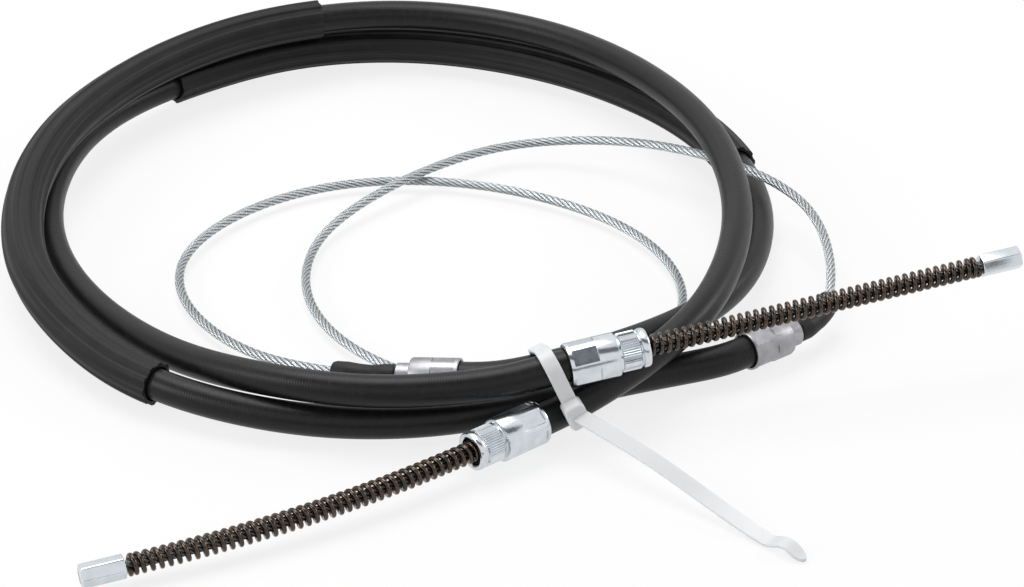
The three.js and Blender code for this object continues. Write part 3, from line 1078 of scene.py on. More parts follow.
@dataclass
class ProtectiveSleeve(SubAssembly):
    """A loose ribbed sleeve on a conduit."""

    side: Side
    start: float
    length: float
    bore: float = 12.2 * MM
    wall: float = 0.9 * MM
    rib_height: float = 0.6 * MM
    rib_slope: float = 1.6
    rib_breadth: float = 0.4
    ribs: int = 10
    facets_per_rib: int = 12
    step: float = 3 * MM

    def radius(self, angle: float) -> float:
        """Finds the outer radius.

        Args:
            angle: the place round the sleeve.

        Returns:
            The radius.
        """
        wave = math.cos(angle * self.ribs) * self.rib_slope + self.rib_breadth
        crest = min(max(wave, 0.0), 1.0)
        return self.bore / 2 + self.wall + self.rib_height * crest

    def build(self) -> list[bpy.types.Object]:
        """Makes the sleeve, open at both ends.

        Returns:
            The one piece.
        """
        stations = self.line.route.stations(self.start, self.start + self.length, self.step)
        count = self.ribs * self.facets_per_rib
        angles = [TAU * k / count for k in range(count)]
        outline = [(self.radius(a) * math.cos(a), self.radius(a) * math.sin(a)) for a in angles]
        bm = roll_tube(stations, lambda _: outline)
        self._open_ends(bm, stations)
        node = f"protective_sleeve_{self.side.value}"
        return [make_piece(f"{node}_rubber", bm, SLEEVE_RUBBER, [node], crease=50.0)]

    def _open_ends(self, bm: bmesh.types.BMesh, stations: Sequence[Station]) -> None:
        """Sinks both caps in to the bore, and joins them down its length.

        Args:
            bm: the closed sleeve.
            stations: the places of its rings.
        """
        caps = [face for face in bm.faces if len(face.verts) > 4]
        inset = {"thickness": self.wall + self.rib_height / 2, "use_even_offset": False}
        bmesh.ops.inset_region(bm, faces=caps, **inset)
        bore = self.bore / 2
        loops: list[bmesh.types.BMEdge] = []
        for cap in caps:
            middle = sum((v.co for v in cap.verts), Vector((0, 0, 0))) / len(cap.verts)
            for vert in cap.verts:
                vert.co = middle + (vert.co - middle).normalized() * bore
            loops.extend(cap.edges)
        bmesh.ops.delete(bm, geom=caps, context="FACES_ONLY")
        self._line_bore(bm, loops, stations)

    def _line_bore(
        self,
        bm: bmesh.types.BMesh,
        loops: Sequence[bmesh.types.BMEdge],
        stations: Sequence[Station],
    ) -> None:
        """Runs the bore's wall from one end to the other.

        Args:
            bm: the sleeve with its ends open.
            loops: the edges of both openings.
            stations: the places of its rings.
        """
        first = [edge for edge in loops if self._near(edge, stations[0])]
        for station, before in zip(stations[1:-1], stations):
            moved = bmesh.ops.extrude_edge_only(bm, edges=first)["geom"]
            verts = [item for item in moved if isinstance(item, bmesh.types.BMVert)]
            for vert in verts:
                offset = vert.co - before.origin
                vert.co = station.at(offset.dot(before.side), offset.dot(before.up))
            first = [item for item in moved if isinstance(item, bmesh.types.BMEdge)]
        last = [edge for edge in loops if self._near(edge, stations[-1])]
        bmesh.ops.bridge_loops(bm, edges=[*first, *last])
        bmesh.ops.recalc_face_normals(bm, faces=bm.faces)

    def _near(self, edge: bmesh.types.BMEdge, station: Station) -> bool:
        """True if an edge lies at a station."""
        return (edge.verts[0].co - station.origin).length < self.bore


@dataclass
class WireRope(SubAssembly):
    """The wire rope, where it shows: in the bare loop and inside both springs."""

    diameter: float = 3.4 * MM
    strands: int = 7
    facets_per_strand: int = 6
    lay: float = 21 * MM
    groove: float = 0.3 * MM
    step: float = 1.1 * MM
    hidden: float = 12 * MM
    behind_bush: float = 2 * MM

    def outline(self, distance: float) -> list[Point2]:
        """The strands' outline, turned by the lay.

        Args:
            distance: metres along the rope.

        Returns:
            The outline.
        """
        count = self.strands * self.facets_per_strand
        turn = TAU * distance / self.lay
        points = []
        for k in range(count):
            angle = TAU * k / count
            crest = abs(math.cos(angle * self.strands / 2))
            radius = self.diameter / 2 - self.groove * (1 - crest)
            points.append((radius * math.cos(angle + turn), radius * math.sin(angle + turn)))
        return points

    def stretch(
        self, name: str, start: float, end: float, finish: Finish
    ) -> tuple[bpy.types.Object, list[Point3]]:
        """Makes a stretch of rope.

        Args:
            name: the piece's name.
            start: distance of its first end.
            end: distance of its other end.
            finish: its finish.

        Returns:
            The piece, and the points of its centreline.
        """
        stations = self.line.route.stations(start, end, self.step)
        pace = (end - start) / (len(stations) - 1)
        bm = roll_tube(stations, lambda k: self.outline(pace * k))
        piece = make_piece(name, bm, finish, ["inner_rope"], crease=60.0)
        return piece, [tuple(station.origin) for station in stations]

    def build(self) -> list[bpy.types.Object]:
        """Makes the loop and both ends.

        Returns:
            The three pieces.
        """
        reach = OUTLET_END_A.length + OUTLET_END_A.boot_length - self.hidden
        start, end = self.line.inlet_a + reach, self.line.inlet_b - reach
        loop, path = self.stretch("rope_loop", start, end, ROPE_WIRE)
        pieces = [loop]
        for side, sizes in ((Side.A, BRAKE_END_A), (Side.B, BRAKE_END_B)):
            rear, nose = self.line.rear(side)
            near = rear + nose * (sizes.bush_from - self.behind_bush)
            far = rear + nose * (sizes.tip_from + self.hidden / 2)
            name, ends = f"rope_end_{side.value}", (min(near, far), max(near, far))
            # The rope inside the springs is coloured darker than the bare loop.
            piece, _ = self.stretch(name, *ends, DARKENED_END_ROPE)
            pieces.append(piece)
        return pieces


@dataclass
class BrakeEnd(SubAssembly):
    """Ferrule, bush, spring and tip at one end of the rope."""

    side: Side
    sizes: BrakeEndSizes
    body_radius: float = 7.5 * MM
    edge: float = 0.5 * MM
    edge_middle: Point2 = (0.12 * MM, 0.14 * MM)
    step_half: float = 0.06 * MM
    crimp_from: float = 1.4 * MM
    crimp_length: float = 8.5 * MM
    crimp_flat: float = 6.95 * MM
    neck_radius: float = 5.9 * MM
    neck_fillet: float = 0.15 * MM
    knurl_radius: float = 6.5 * MM
    knurl_chamfer: Point2 = (0.3 * MM, 0.35 * MM)
    knurl_depth: float = 0.45 * MM
    knurl_teeth: int = 48
    rim_gap: float = 0.5 * MM
    rim_radius: float = 6.6 * MM
    rim_sink: float = 0.3 * MM
    rim_steps: int = 12
    rim_squareness: float = 0.45
    mouth_radius: float = 4.9 * MM
    mouth_chamfer: Point2 = (0.35 * MM, 0.4 * MM)
    seat_radius: float = 5.8 * MM
    seat_chamfer: float = 0.4 * MM
    seat_web: float = 1 * MM
    rope_hole: float = 2.1 * MM
    spring_radius: float = 3.7 * MM
    wire_radius: float = 0.85 * MM
    turns: int = 44
    closed_turns: float = 1.5
    closed_pitch: float = 1.82 * MM
    steps_per_turn: int = 36
    wire_facets: int = 12
    tip_flat: float = 3.5 * MM
    tip_rounding: float = 0.45 * MM
    tip_border: float = 1.6 * MM
    tip_dent: float = 0.25 * MM
    ferrule_steps: int = 288
    bush_steps: int = 48

    def __post_init__(self) -> None:
        """Finds where the end is on the line."""
        self.rear, self.nose = self.line.rear(self.side)

    def ferrule_radius(self, radius: float, angle: float, height: float) -> float:
        """Presses the crimp's flats in and cuts the knurl.

        Args:
            radius: the turned radius.
            angle: the place round the ferrule.
            height: distance from the rear face.

        Returns:
            The finished radius.
        """
        sizes = self.sizes
        in_seat = radius < self.seat_radius + self.seat_chamfer
        if in_seat and height < sizes.body_length - self.seat_web:
            return radius
        crimp_to = self.crimp_from + self.crimp_length
        if self.crimp_from <= height <= crimp_to and radius > self.neck_radius + self.edge:
            return crimp(radius, angle, self.crimp_flat)
        knurl_from = sizes.body_length + sizes.neck_length
        if knurl_from < height < knurl_from + sizes.knurl_length and radius > self.neck_radius:
            tooth = 0.5 + 0.5 * math.cos(angle * self.knurl_teeth)
            return radius - self.knurl_depth * (1 - tooth)
        return radius

    def ferrule_profile(self) -> list[Point2]:
        """Draws the ferrule's section, from its rear face to its mouth and back inside.

        Returns:
            (radius, height) pairs, in order round the section.
        """
        s, edge, tiny = self.sizes, self.edge, self.step_half
        body, neck = self.body_radius, self.neck_radius
        knurl, mouth = self.knurl_radius, self.mouth_radius
        inward, onward = self.edge_middle
        chamfer, chamfer_length = self.knurl_chamfer
        flare, flare_length = self.mouth_chamfer
        end, floor = s.ferrule_length, s.ferrule_length - s.mouth_depth
        crimp_to = self.crimp_from + self.crimp_length
        knurl_from = s.body_length + s.neck_length
        knurl_to = knurl_from + s.knurl_length
        rim_from = knurl_to + self.rim_gap
        outside = [
            (self.seat_radius + self.seat_chamfer, 0.0),
            (body - edge, 0.0),
            (body - inward, onward),
            (body, edge),
            (body, self.crimp_from - tiny),
            (body, self.crimp_from + tiny),
            (body, crimp_to - tiny),
            (body, crimp_to + tiny),
            (body, s.body_length - edge),
            (body - onward, s.body_length - inward),
            (body - edge, s.body_length),
            (neck + self.neck_fillet, s.body_length),
            (neck, s.body_length + self.neck_fillet),
            (neck, knurl_from - tiny),
            (knurl - chamfer, knurl_from + tiny),
            (knurl, knurl_from + chamfer_length),
            (knurl, knurl_to - chamfer_length),
            (knurl - chamfer, knurl_to - tiny),
            (neck, knurl_to + tiny),
            (neck, rim_from),
        ]
        low, middle = neck - self.rim_sink, (rim_from + end) / 2
        crown = []
        for k in range(1, self.rim_steps):
            angle = math.pi * (k / self.rim_steps - 0.5)
            radius = low + (self.rim_radius - low) * math.cos(angle) ** self.rim_squareness
            crown.append((radius, middle + (end - middle) * math.sin(angle)))
        inside = [
            (mouth + flare, end),
            (mouth, end - flare_length),
            (mouth, floor),
            (self.rope_hole, floor),
            (self.rope_hole, s.seat_depth),
            (self.seat_radius, s.seat_depth),
            (self.seat_radius, self.seat_chamfer),
        ]
        return [*outside, *crown, *inside]

    def ferrule(self) -> bpy.types.Object:
        """Makes the crimped and knurled ferrule.

        Returns:
            The piece.
        """
        bm = turn_profile(self.ferrule_profile(), self.ferrule_steps, self.ferrule_radius)
        bm.transform(self.line.route.placing(self.rear, self.nose))
        node = f"brake_ferrule_{self.side.value}"
        return make_piece(f"{node}_plated", bm, ZINC, [node], crease=24.0)

    def bush(self) -> bpy.types.Object:
        """Makes the bush on the floor of the mouth.

        Returns:
            The piece.
        """
        outer, thick = self.mouth_radius - SEAT_GAP, self.sizes.bush_thickness
        rounding, eased = self.edge, self.edge * 0.3
        profile = [
            (self.rope_hole, 0.0),
            (outer, 0.0),
            (outer, thick - rounding),
            (outer - eased, thick - eased),
            (outer - rounding, thick),
            (self.rope_hole + rounding, thick),
            (self.rope_hole, thick - rounding),
        ]
        bm = turn_profile(profile, self.bush_steps)
        bm.transform(Matrix.Translation((0, 0, self.sizes.bush_from)))
        bm.transform(self.line.route.placing(self.rear, self.nose))
        node = f"nose_bush_{self.side.value}"
        return make_piece(f"{node}_moulded", bm, BOOT_RUBBER, [node])

    def wound(self, turns: float) -> float:
        """Length of the spring after a number of turns.

        Args:
            turns: turns from the bush.

        Returns:
            Distance of the wire's middle from the spring's first end.
        """
        open_turns = self.turns - 2 * self.closed_turns
        length = self.sizes.spring_length - 2 * self.wire_radius
        open_pitch = (length - 2 * self.closed_turns * self.closed_pitch) / open_turns
        first = min(turns, self.closed_turns)
        middle = min(max(turns - self.closed_turns, 0.0), open_turns)
        last = max(turns - self.closed_turns - open_turns, 0.0)
        return self.wire_radius + (first + last) * self.closed_pitch + middle * open_pitch

    def spring(self) -> bpy.types.Object:
        """Makes the return spring, with closed ends.

        Returns:
            The piece.
        """
        start = self.rear + self.nose * self.sizes.spring_from
        coil = self.spring_radius - self.wire_radius
        stations = []
        for k in range(self.turns * self.steps_per_turn + 1):
            turns = k / self.steps_per_turn
            base = self.line.route.station(start + self.nose * self.wound(turns))
            angle = TAU * turns
            out = base.side * math.cos(angle) + base.up * math.sin(angle)
            stations.append(Station(base.origin + out * coil, out, base.along))
        outline = ring(self.wire_radius, self.wire_facets)
        bm = roll_tube(stations, lambda _: outline)
        node = f"return_spring_{self.side.value}"
        return make_piece(f"{node}_wire", bm, SPRING_STEEL, [node], crease=60.0)

    def tip(self) -> bpy.types.Object:
        """Makes the hexagonal crimped tip, with a shallow dent in its end.

        Returns:
            The piece.
        """
        bm = bmesh.new()
        corner = self.tip_flat / math.cos(math.pi / 6)
        bmesh.ops.create_circle(bm, cap_ends=True, segments=6, radius=corner)
        turn = Matrix.Rotation(math.pi / 6, 3, "Z")
        bmesh.ops.rotate(bm, verts=bm.verts, cent=(0, 0, 0), matrix=turn)
        length = self.sizes.tip_length
        made = bmesh.ops.extrude_face_region(bm, geom=bm.faces[:])["geom"]
        top = [item for item in made if isinstance(item, bmesh.types.BMVert)]
        bmesh.ops.translate(bm, verts=top, vec=(0, 0, length))
        bmesh.ops.recalc_face_normals(bm, faces=bm.faces)
        soften(bm, self.tip_rounding, angle=40.0, segments=4)
        cap = max(bm.faces, key=lambda face: face.calc_center_median().z)
        bmesh.ops.inset_region(bm, faces=[cap], thickness=self.tip_border, depth=-self.tip_dent)
        bm.transform(Matrix.Translation((0, 0, self.sizes.tip_from)))
        bm.transform(self._bent_placing())
        node = f"end_tip_{self.side.value}"
        return make_piece(f"{node}_plated", bm, ZINC, [node], crease=30.0)

    def _bent_placing(self) -> Matrix:
        """Finds where a shape drawn from the rear face goes, past the bent spring.

        Returns:
            The placing.
        """
        start = self.rear + self.nose * self.sizes.tip_from
        back = Matrix.Translation((0, 0, -self.sizes.tip_from))
        return self.line.route.placing(start, self.nose) @ back

    def build(self) -> list[bpy.types.Object]:
        """Makes the end's four pieces."""
        return [self.ferrule(), self.bush(), self.spring(), self.tip()]


@dataclass
class OutletEnd(SubAssembly):
    """Aluminium ferrule and rubber boot where the rope comes out of a conduit."""

    side: Side
    sizes: OutletEndSizes
    barrel_radius: float = 6.75 * MM
    mouth_edge: float = 0.3 * MM
    mouth_edge_middle: float = 0.08 * MM
    far_edge: float = 0.9 * MM
    far_edge_middle: float = 0.25 * MM
    step_half: float = 0.06 * MM
    crimp_from: float = 1.4 * MM
    crimp_length: float = 8 * MM
    crimp_flat: float = 6.35 * MM
    crimp_depth_from: float = 0.6 * MM
    spigot_radius: float = 4.8 * MM
    spigot_chamfer: float = 0.4 * MM
    seat_radius: float = 5.8 * MM
    rope_hole: float = 2.1 * MM
    boot_radius: float = 4.3 * MM
    boot_waist: float = 3.7 * MM
    boot_hole: float = 1.75 * MM
    boot_step: float = 0.5 * MM
    boot_facets: int = 32
    ferrule_steps: int = 96

    def __post_init__(self) -> None:
        """Finds where the end is on the line."""
        self.inlet, self.spigot = self.line.inlet(self.side)

    def barrel_shape(self, radius: float, angle: float, height: float) -> float:
        """Presses the crimp's flats in.

        Args:
            radius: the turned radius.
            angle: the place round the barrel.
            height: distance from the conduit face.

        Returns:
            The finished radius.
        """
        crimped = self.crimp_from <= height <= self.crimp_from + self.crimp_length
        if crimped and radius > self.seat_radius + self.crimp_depth_from:
            return crimp(radius, angle, self.crimp_flat)
        return radius

    def ferrule(self) -> bpy.types.Object:
        """Makes the crimped ferrule with its spigot.

        Returns:
            The piece.
        """
        s, barrel, spigot = self.sizes, self.barrel_radius, self.spigot_radius
        tiny, near, far = self.step_half, self.mouth_edge, self.far_edge
        near_middle, far_middle = self.mouth_edge_middle, self.far_edge_middle
        crimp_to = self.crimp_from + self.crimp_length
        profile = [
            (self.seat_radius + near, 0.0),
            (barrel - near, 0.0),
            (barrel - near_middle, near_middle),
            (barrel, near),
            (barrel, self.crimp_from - tiny),
            (barrel, self.crimp_from + tiny),
            (barrel, crimp_to - tiny),
            (barrel, crimp_to + tiny),
            (barrel, s.barrel_length - far),
            (barrel - far_middle, s.barrel_length - far_middle),
            (barrel - far, s.barrel_length),
            (spigot + near, s.barrel_length),
            (spigot, s.barrel_length + near),
            (spigot, s.length - self.spigot_chamfer),
            (spigot - self.spigot_chamfer, s.length),
            (self.rope_hole, s.length),
            (self.rope_hole, s.seat_depth),
            (self.seat_radius, s.seat_depth),
            (self.seat_radius, near),
        ]
        bm = turn_profile(profile, self.ferrule_steps, self.barrel_shape)
        bm.transform(self.line.route.placing(self.inlet, self.spigot))
        node = f"outlet_ferrule_{self.side.value}"
        return make_piece(f"{node}_cast", bm, ALUMINIUM, [node], crease=24.0)

    def boot(self) -> bpy.types.Object:
        """Makes the rubber boot, drawn in at its waist.

        Returns:
            The piece.
        """
        start = self.inlet + self.spigot * (self.sizes.length + SEAT_GAP)
        end = start + self.spigot * self.sizes.boot_length
        stations = self.line.route.stations(start, end, self.boot_step)
        last = len(stations) - 1
        shares = (0.0, 0.02, 0.2, 0.36, 0.55, 0.75, 0.93, 0.985, 1.0)
        mouth, waist = self.boot_radius, self.boot_waist
        radii = (
            mouth - 0.3 * MM, mouth, mouth, waist, waist, mouth - 0.3 * MM,
            mouth - 0.5 * MM, mouth - 0.9 * MM, self.boot_hole + 0.3 * MM,
        )
        widths = [float(np.interp(k / last, shares, radii)) for k in range(last + 1)]
        bm = roll_tube(stations, lambda k: ring(widths[k], self.boot_facets))
        node = f"boot_{self.side.value}"
        return make_piece(f"{node}_moulded", bm, BOOT_RUBBER, [node], crease=50.0)

    def build(self) -> list[bpy.types.Object]:
        """Makes the end's two pieces."""
        return [self.ferrule(), self.boot()]


@dataclass
class CableTie(SubAssembly):
    """The nylon tie: band, head and tail in one piece."""

    width: float = 5.2 * MM
    thickness: float = 1.2 * MM
    edge: float = 0.25 * MM
    setback: float = 5 * MM
    azimuth: float = 18.0
    lean: float = 22.0
    reach: float = 45 * MM
    band_steps: int = 160
    head: Point3 = (8.5 * MM, 7.4 * MM, 5 * MM)
    head_drop: float = 0.86
    head_corner: float = 1.2 * MM
    head_rounding: float = 0.6 * MM
    head_border: float = 1.3 * MM
    head_dent: float = 0.35 * MM
    tail_length: float = 95 * MM
    tail_azimuth: float = -42.0
    tail_roll: float = 34.0
    tail_unroll: float = 0.5
    tail_steps: int = 360
    tip_from: float = 0.95
    curl_from: float = 0.84
    curl_height: float = 2.4 * MM
    tooth_depth: float = 0.3 * MM
    rail_width: float = 0.9 * MM
    rail_slope: float = 0.1 * MM
    conduit_radius: float = 5.5 * MM
    rope_radius: float = 1.7 * MM
    plane: Station = field(init=False)

    def __post_init__(self) -> None:
        """Stands the tie's plane across the bundle."""
        origin = self.line.route.station(self.line.rear_a + self.setback).origin
        across = heading(self.azimuth + 90, 0)
        self.plane = Station(origin, across, heading(self.azimuth, self.lean).cross(across))

    def circles(self) -> list[tuple[float, float, float]]:
        """Finds the strands that cross the plane.

        Returns:
            Their (x, y, radius) circles in it.
        """
        line, plane, found = self.line, self.plane, []
        for distance in np.arange(line.rear_a, line.rear_b, 1 * MM):
            station = line.route.station(distance)
            offset = station.origin - plane.origin
            level = abs(offset.dot(plane.along))
            if level < self.width / 2 + 1 * MM and offset.length < self.reach:
                bare = line.inlet_a < distance < line.inlet_b
                radius = self.rope_radius if bare else self.conduit_radius
                slant = abs(station.along.dot(plane.along))
                found.append((offset.dot(plane.side), offset.dot(plane.up), radius / slant))
        return found

    def hull(self) -> list[Vector]:
        """Finds the closed convex outline of the middle of the band's thickness.

        Returns:
            Its points in the plane, anticlockwise.
        """
        margin = SEAT_GAP + self.thickness / 2
        points = [
            Vector((x + px, y + py))
            for x, y, radius in self.circles()
            for px, py in ring(radius + margin, 48)
        ]
        outline = [points[k] for k in convex_hull_2d(points)]
        turning = sum(a.cross(b) for a, b in zip(outline, [*outline[1:], outline[0]]))
        return outline if turning > 0 else outline[::-1]

    @staticmethod
    def _evened(outline: Sequence[Point2], count: int) -> list[Point2]:
        """Spaces an outline's points evenly.

        Args:
            outline: the closed outline.
            count: how many points to make.

        Returns:
            The new points.
        """
        closed = np.array([*outline, outline[0]])
        gaps = np.linalg.norm(np.diff(closed, axis=0), axis=1)
        marks = np.concatenate(([0.0], np.cumsum(gaps)))
        at = np.linspace(0.0, marks[-1], count, endpoint=False)
        return list(zip(np.interp(at, marks, closed[:, 0]), np.interp(at, marks, closed[:, 1])))

    def strap_section(self) -> list[Point2]:
        """Draws the strap's section, with rounded edges.

        Returns:
            Places across its thickness and across its width.
        """
        half, wide, edge = self.thickness / 2, self.width / 2, self.edge
        top = [(half - edge, wide), (-half + edge, wide)]
        corners = [*top, (-half, wide - edge), (-half, -wide + edge)]
        return [*corners, *[(-x, -y) for x, y in corners]]

    def band(self) -> bmesh.types.BMesh:
        """Makes the band round the bundle.

        Returns:
            The mesh.
        """
        outline = self._evened(self.hull(), self.band_steps)
        middle = Vector(np.mean(outline, axis=0))
        stations = []
        for k in range(self.band_steps + 1):
            near = (outline[(k + d) % self.band_steps] for d in (-1, 0, 1))
            before, here, after = map(Vector, near)
            edge = (after - before).normalized()
            out = Vector((edge.y, -edge.x))
            if out.dot(here - middle) < 0:
                out.negate()
            outward = self.plane.side * out.x + self.plane.up * out.y
            origin = self.plane.at(here.x, here.y)
            stations.append(Station(origin, outward, self.plane.along))
        section = self.strap_section()
        return roll_tube(stations, lambda _: section, closed=True)

    def head_place(self) -> tuple[Vector, Vector, Vector]:
        """Finds where the head sits, on the side of the band that drops the most.

        Returns:
            Middle of the head, its way down the band and its outward way.
        """
        outline = self.hull()
        sides = zip(outline, [*outline[1:], outline[0]])
        start, end = max(sides, key=lambda pair: pair[0].y - pair[1].y)
        way = (end - start).normalized()
        out = Vector((-abs(way.y), way.x if way.y < 0 else -way.x))
        middle = start.lerp(end, self.head_drop) + out * ((self.head[2] - self.thickness) / 2)
        down, outward = (self.plane.side * v.x + self.plane.up * v.y for v in (way, out))
        return self.plane.at(middle.x, middle.y), down, outward

    def head_block(self) -> bmesh.types.BMesh:
        """Makes the head: a block with flared shoulders and a shallow dent in its face.

        Returns:
            The mesh.
        """
        place, along, outward = self.head_place()
        length, across, depth = self.head
        neck, corner = self.width / 2, self.head_corner
        half = [
            (-length / 2, neck),
            (-length / 2 + corner, across / 2),
            (length / 2 - corner, across / 2),
            (length / 2, across / 2 - corner),
        ]
        outline = [*half, *[(x, -y) for x, y in reversed(half)]]
        bm = bmesh.new()
        base = bm.faces.new([bm.verts.new((x, y, -depth / 2)) for x, y in outline])
        made = bmesh.ops.extrude_face_region(bm, geom=[base])["geom"]
        top = [item for item in made if isinstance(item, bmesh.types.BMVert)]
        bmesh.ops.translate(bm, verts=top, vec=(0, 0, depth))
        bmesh.ops.recalc_face_normals(bm, faces=bm.faces)
        soften(bm, self.head_rounding, angle=25.0, segments=3)
        cap = max(bm.faces, key=lambda face: face.calc_center_median().z)
        bmesh.ops.inset_region(bm, faces=[cap], thickness=self.head_border, depth=-self.head_dent)
        turn = Matrix((along, outward.cross(along), outward)).transposed().to_4x4()
        bm.transform(Matrix.Translation(place) @ turn)
        return bm

    def tail_line(self) -> list[Point2]:
        """Draws the tail from the side.

        Returns:
            Distance from the head and height of each place.
        """
        place, _, _ = self.head_place()
        low = self.thickness / 2 + SEAT_GAP
        shares = (0.0, 0.35, 0.78, 1.0)
        heights = (place.z, place.z * 0.72 + low * 0.28, place.z * 0.1 + low * 0.9, low)
        pairs = zip(shares, heights)
        knots = [Vector((share * self.tail_length, height)) for share, height in pairs]
        times = np.linspace(0, len(knots) - 1, self.tail_steps + 1)
        points = [self._spline(knots, t) for t in times]
        return [(p.x, p.y + self._curl(p.x / self.tail_length)) for p in points]

    def _curl(self, share: float) -> float:
        """Height of the curl in the tail's end."""
        way = max(share - self.curl_from, 0.0) / (1 - self.curl_from)
        return self.curl_height * math.sin(math.pi * way) ** 2

    @staticmethod
    def _spline(knots: Sequence[Vector], time: float) -> Vector:
        """Finds a place on the Catmull-Rom line through a few knots.

        Args:
            knots: the knots.
            time: spans from the first one.

        Returns:
            The place.
        """
        span = min(int(time), len(knots) - 2)
        f = time - span
        picks = [knots[min(max(span + k, 0), len(knots) - 1)] for k in (-1, 0, 1, 2)]
        tangents = ((picks[2] - picks[0]) / 2, (picks[3] - picks[1]) / 2)
        cubic = (2 * picks[1] - 2 * picks[2] + tangents[0] + tangents[1]) * f**3
        square = (-3 * picks[1] + 3 * picks[2] - 2 * tangents[0] - tangents[1]) * f**2
        return cubic + square + tangents[0] * f + picks[1]

    def tail(self) -> bmesh.types.BMesh:
        """Makes the tail, which comes down from the head and lies flat at its end.

        Returns:
            The mesh.
        """
        place, _, _ = self.head_place()
        way = heading(self.tail_azimuth, 0)
        side = UP.cross(way)
        line = self.tail_line()
        stations = []
        for k, (reach, height) in enumerate(line):
            before, after = line[max(k - 1, 0)], line[min(k + 1, len(line) - 1)]
            rise = (Vector(after) - Vector(before)).normalized()
            normal = UP * rise.x - way * rise.y
            left = max(1 - reach / self.tail_length, 0.0)
            roll = math.radians(self.tail_roll) * min(left / self.tail_unroll, 1.0)
            origin = Vector((place.x, place.y, height)) + way * reach
            upward = normal * math.cos(roll) - side * math.sin(roll)
            across = side * math.cos(roll) + normal * math.sin(roll)
            stations.append(Station(origin, upward, across))
        return roll_tube(stations, lambda k: self._tail_section(line[k][0], k))

    def _tail_section(self, reach: float, index: int) -> list[Point2]:
        """Draws the tail's section, with teeth cut in its underside up to its smooth end.

        Args:
            reach: distance from the head.
            index: number of the place.

        Returns:
            Places across its thickness and across its width.
        """
        share = reach / self.tail_length
        width = self._taper(share)
        cut = self.tooth_depth if share < self.curl_from and index % 4 < 2 else 0.0
        points = [(x, y * width) for x, y in self.strap_section()]
        low, inner = -self.thickness / 2, (self.width / 2 - self.rail_width) * width
        outer = inner + self.rail_slope
        groove = [(low, outer), (low + cut, inner), (low + cut, -inner), (low, -outer)]
        return [*points[:3], *groove, *points[3:]]

    def _taper(self, share: float) -> float:
        """The tail's width as a share, rounded off at its end."""
        way = min(max(share - self.tip_from, 0.0) / (1 - self.tip_from), 0.99)
        return math.sqrt(1 - way**2)

    def build(self) -> list[bpy.types.Object]:
        """Makes the tie's three parts as pieces that meet.

        Returns:
            The three pieces.
        """
        parts = (("band", self.band), ("head", self.head_block), ("tail", self.tail))
        return [
            make_piece(f"tie_{name}", make(), NYLON, ["cable_tie"], crease=40.0)
            for name, make in parts
        ]


# Studio


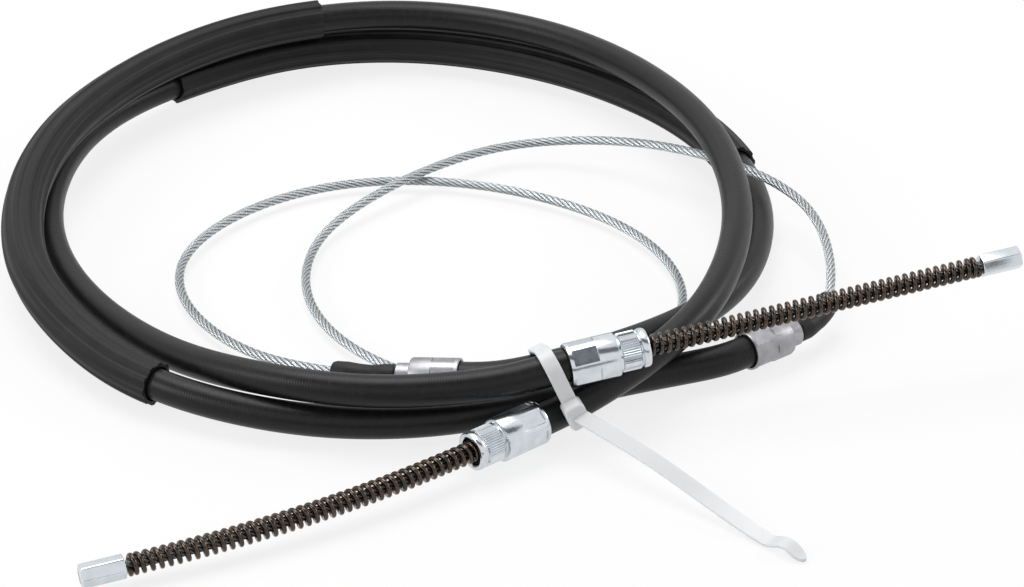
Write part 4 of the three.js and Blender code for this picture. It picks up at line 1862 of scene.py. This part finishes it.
@dataclass
class Studio:
    """Camera, floor and soft lamps."""

    distance: float = 1.12
    elevation: float = 30.0
    focal_pixels: float = 3150.0
    picture_width: float = 1024.0
    sensor: float = 36.0
    target: Point3 = (0.004, -0.0075, 0.0)
    floor_size: float = 30.0

    def camera(self) -> None:
        """Stands the camera at the photograph's viewing angle."""
        data = bpy.data.cameras.new("camera")
        data.lens = self.focal_pixels / self.picture_width * self.sensor
        data.sensor_width = self.sensor
        data.clip_start, data.clip_end = 0.05, 100.0
        camera = bpy.data.objects.new("camera", data)
        tilt = math.radians(self.elevation)
        back = Vector((0.0, -math.cos(tilt), math.sin(tilt)))
        camera.location = Vector(self.target) - COIL_CENTRE + back * self.distance
        camera.rotation_euler = (math.pi / 2 - tilt, 0.0, 0.0)
        bpy.context.scene.collection.objects.link(camera)
        bpy.context.scene.camera = camera

    def floor(self) -> None:
        """Lays a white floor that keeps a faint shadow."""
        bm = bmesh.new()
        bmesh.ops.create_grid(bm, x_segments=1, y_segments=1, size=self.floor_size / 2)
        mesh = bpy.data.meshes.new("floor")
        bm.to_mesh(mesh)
        bm.free()
        mesh.materials.append(self.floor_paint())
        floor = bpy.data.objects.new("floor", mesh)
        bpy.context.scene.collection.objects.link(floor)
        floor.location.z = -0.05 * MM

    @staticmethod
    def floor_paint() -> bpy.types.Material:
        """Mixes a white paint, which the camera and reflections see as nearly pure white.

        Returns:
            The paint.
        """
        kit = ShaderKit("floor_paint")
        kit.set(Base_Color=(0.86, 0.86, 0.86, 1.0), Roughness=0.9, Specular_IOR_Level=0.1)
        path = kit.node("ShaderNodeLightPath")
        seen = Value(kit, path.outputs["Is Camera Ray"]) + Value(kit, path.outputs["Is Glossy Ray"])
        seen = (seen + Value(kit, path.outputs["Is Transmission Ray"])).above(0.0, 1.0)
        glow = kit.node("ShaderNodeEmission", inputs={"Color": (1, 1, 1, 1), "Strength": 1.0})
        mix = kit.node("ShaderNodeMixShader")
        kit.feed(mix.inputs[0], seen * 0.8)
        kit.feed(mix.inputs[1], kit.surface.outputs[0])
        kit.feed(mix.inputs[2], glow.outputs[0])
        kit.feed(kit.tree.nodes["Material Output"].inputs[0], mix.outputs[0])
        return kit.material

    @staticmethod
    def card(name: str, place: Point3, size: tuple[float, float]) -> None:
        """Hangs a dark card that only reflections see, as a photographer does for metal.

        Args:
            name: the card's name.
            place: where it hangs, facing the coil.
            size: its width and depth.
        """
        kit = ShaderKit(name + "_paint")
        kit.set(Base_Color=(0.13, 0.145, 0.17, 1.0), Roughness=1.0, Specular_IOR_Level=0.0)
        bm = bmesh.new()
        bmesh.ops.create_grid(bm, x_segments=1, y_segments=1, size=0.5)
        bmesh.ops.scale(bm, verts=bm.verts, vec=(*size, 1.0))
        mesh = bpy.data.meshes.new(name)
        bm.to_mesh(mesh)
        bm.free()
        mesh.materials.append(kit.material)
        card = bpy.data.objects.new(name, mesh)
        card.location = place
        card.rotation_euler = (-Vector(place)).to_track_quat("-Z", "Y").to_euler()
        card.visible_camera = card.visible_diffuse = card.visible_shadow = False
        card.visible_transmission = False
        bpy.context.scene.collection.objects.link(card)

    @staticmethod
    def world() -> None:
        """Fills the room with soft white light."""
        world = bpy.data.worlds.new("room")
        world.use_nodes = True
        tree = world.node_tree
        background = tree.nodes["Background"]
        background.inputs["Color"].default_value = (1.0, 1.0, 1.0, 1.0)
        path = tree.nodes.new("ShaderNodeLightPath")
        total = path.outputs["Is Camera Ray"]
        for name in ("Is Glossy Ray", "Is Transmission Ray"):
            add = tree.nodes.new("ShaderNodeMath")
            tree.links.new(total, add.inputs[0])
            tree.links.new(path.outputs[name], add.inputs[1])
            total = add.outputs[0]
        levels = tree.nodes.new("ShaderNodeMapRange")
        levels.inputs["To Min"].default_value = 0.5
        levels.inputs["To Max"].default_value = 1.0
        tree.links.new(total, levels.inputs["Value"])
        tree.links.new(levels.outputs[0], background.inputs["Strength"])
        bpy.context.scene.world = world

    @staticmethod
    def lamp(name: str, place: Point3, size: float, power: float) -> None:
        """Hangs a square soft lamp that faces the coil.

        Args:
            name: the lamp's name.
            place: where it hangs.
            size: its side.
            power: its power in watts.
        """
        data = bpy.data.lights.new(name, "AREA")
        data.size, data.energy = size, power
        lamp = bpy.data.objects.new(name, data)
        lamp.location = place
        lamp.rotation_euler = (-Vector(place)).to_track_quat("-Z", "Y").to_euler()
        bpy.context.scene.collection.objects.link(lamp)

    def build(self) -> None:
        """Sets the studio up."""
        self.camera()
        self.floor()
        self.world()
        self.lamp("top_lamp", (-0.25, 0.35, 1.3), 0.9, 11.0)
        self.lamp("left_lamp", (-1.2, -0.5, 0.7), 0.5, 5.0)
        self.lamp("right_lamp", (1.1, 0.3, 0.6), 0.4, 3.0)
        self.card("top_card", (0.0, -0.36, 0.72), (1.5, 0.34))
        self.card("low_card", (0.0, -1.9, 0.1), (3.4, 0.5))
        bpy.context.scene.view_settings.view_transform = "Standard"


def main() -> None:
    """Builds the studio and then the cable, one sub-assembly after another."""
    logging.basicConfig(level=logging.INFO, format="%(message)s")
    Studio().build()
    line = CableLine()
    assemblies: list[SubAssembly] = [
        Conduit(line, Side.A),
        WireRope(line),
        Conduit(line, Side.B),
        ProtectiveSleeve(line, Side.A, line.rear_a + 381 * MM, 277 * MM),
        ProtectiveSleeve(line, Side.B, line.inlet_b + 211 * MM, 317 * MM),
        BrakeEnd(line, Side.A, BRAKE_END_A),
        BrakeEnd(line, Side.B, BRAKE_END_B),
        OutletEnd(line, Side.A, OUTLET_END_A),
        OutletEnd(line, Side.B, OUTLET_END_B),
        CableTie(line),
    ]
    for assembly in assemblies:
        made = assembly.build()
        log.info("%s: %d pieces", type(assembly).__name__, len(made))


if __name__ == "__main__":
    main()
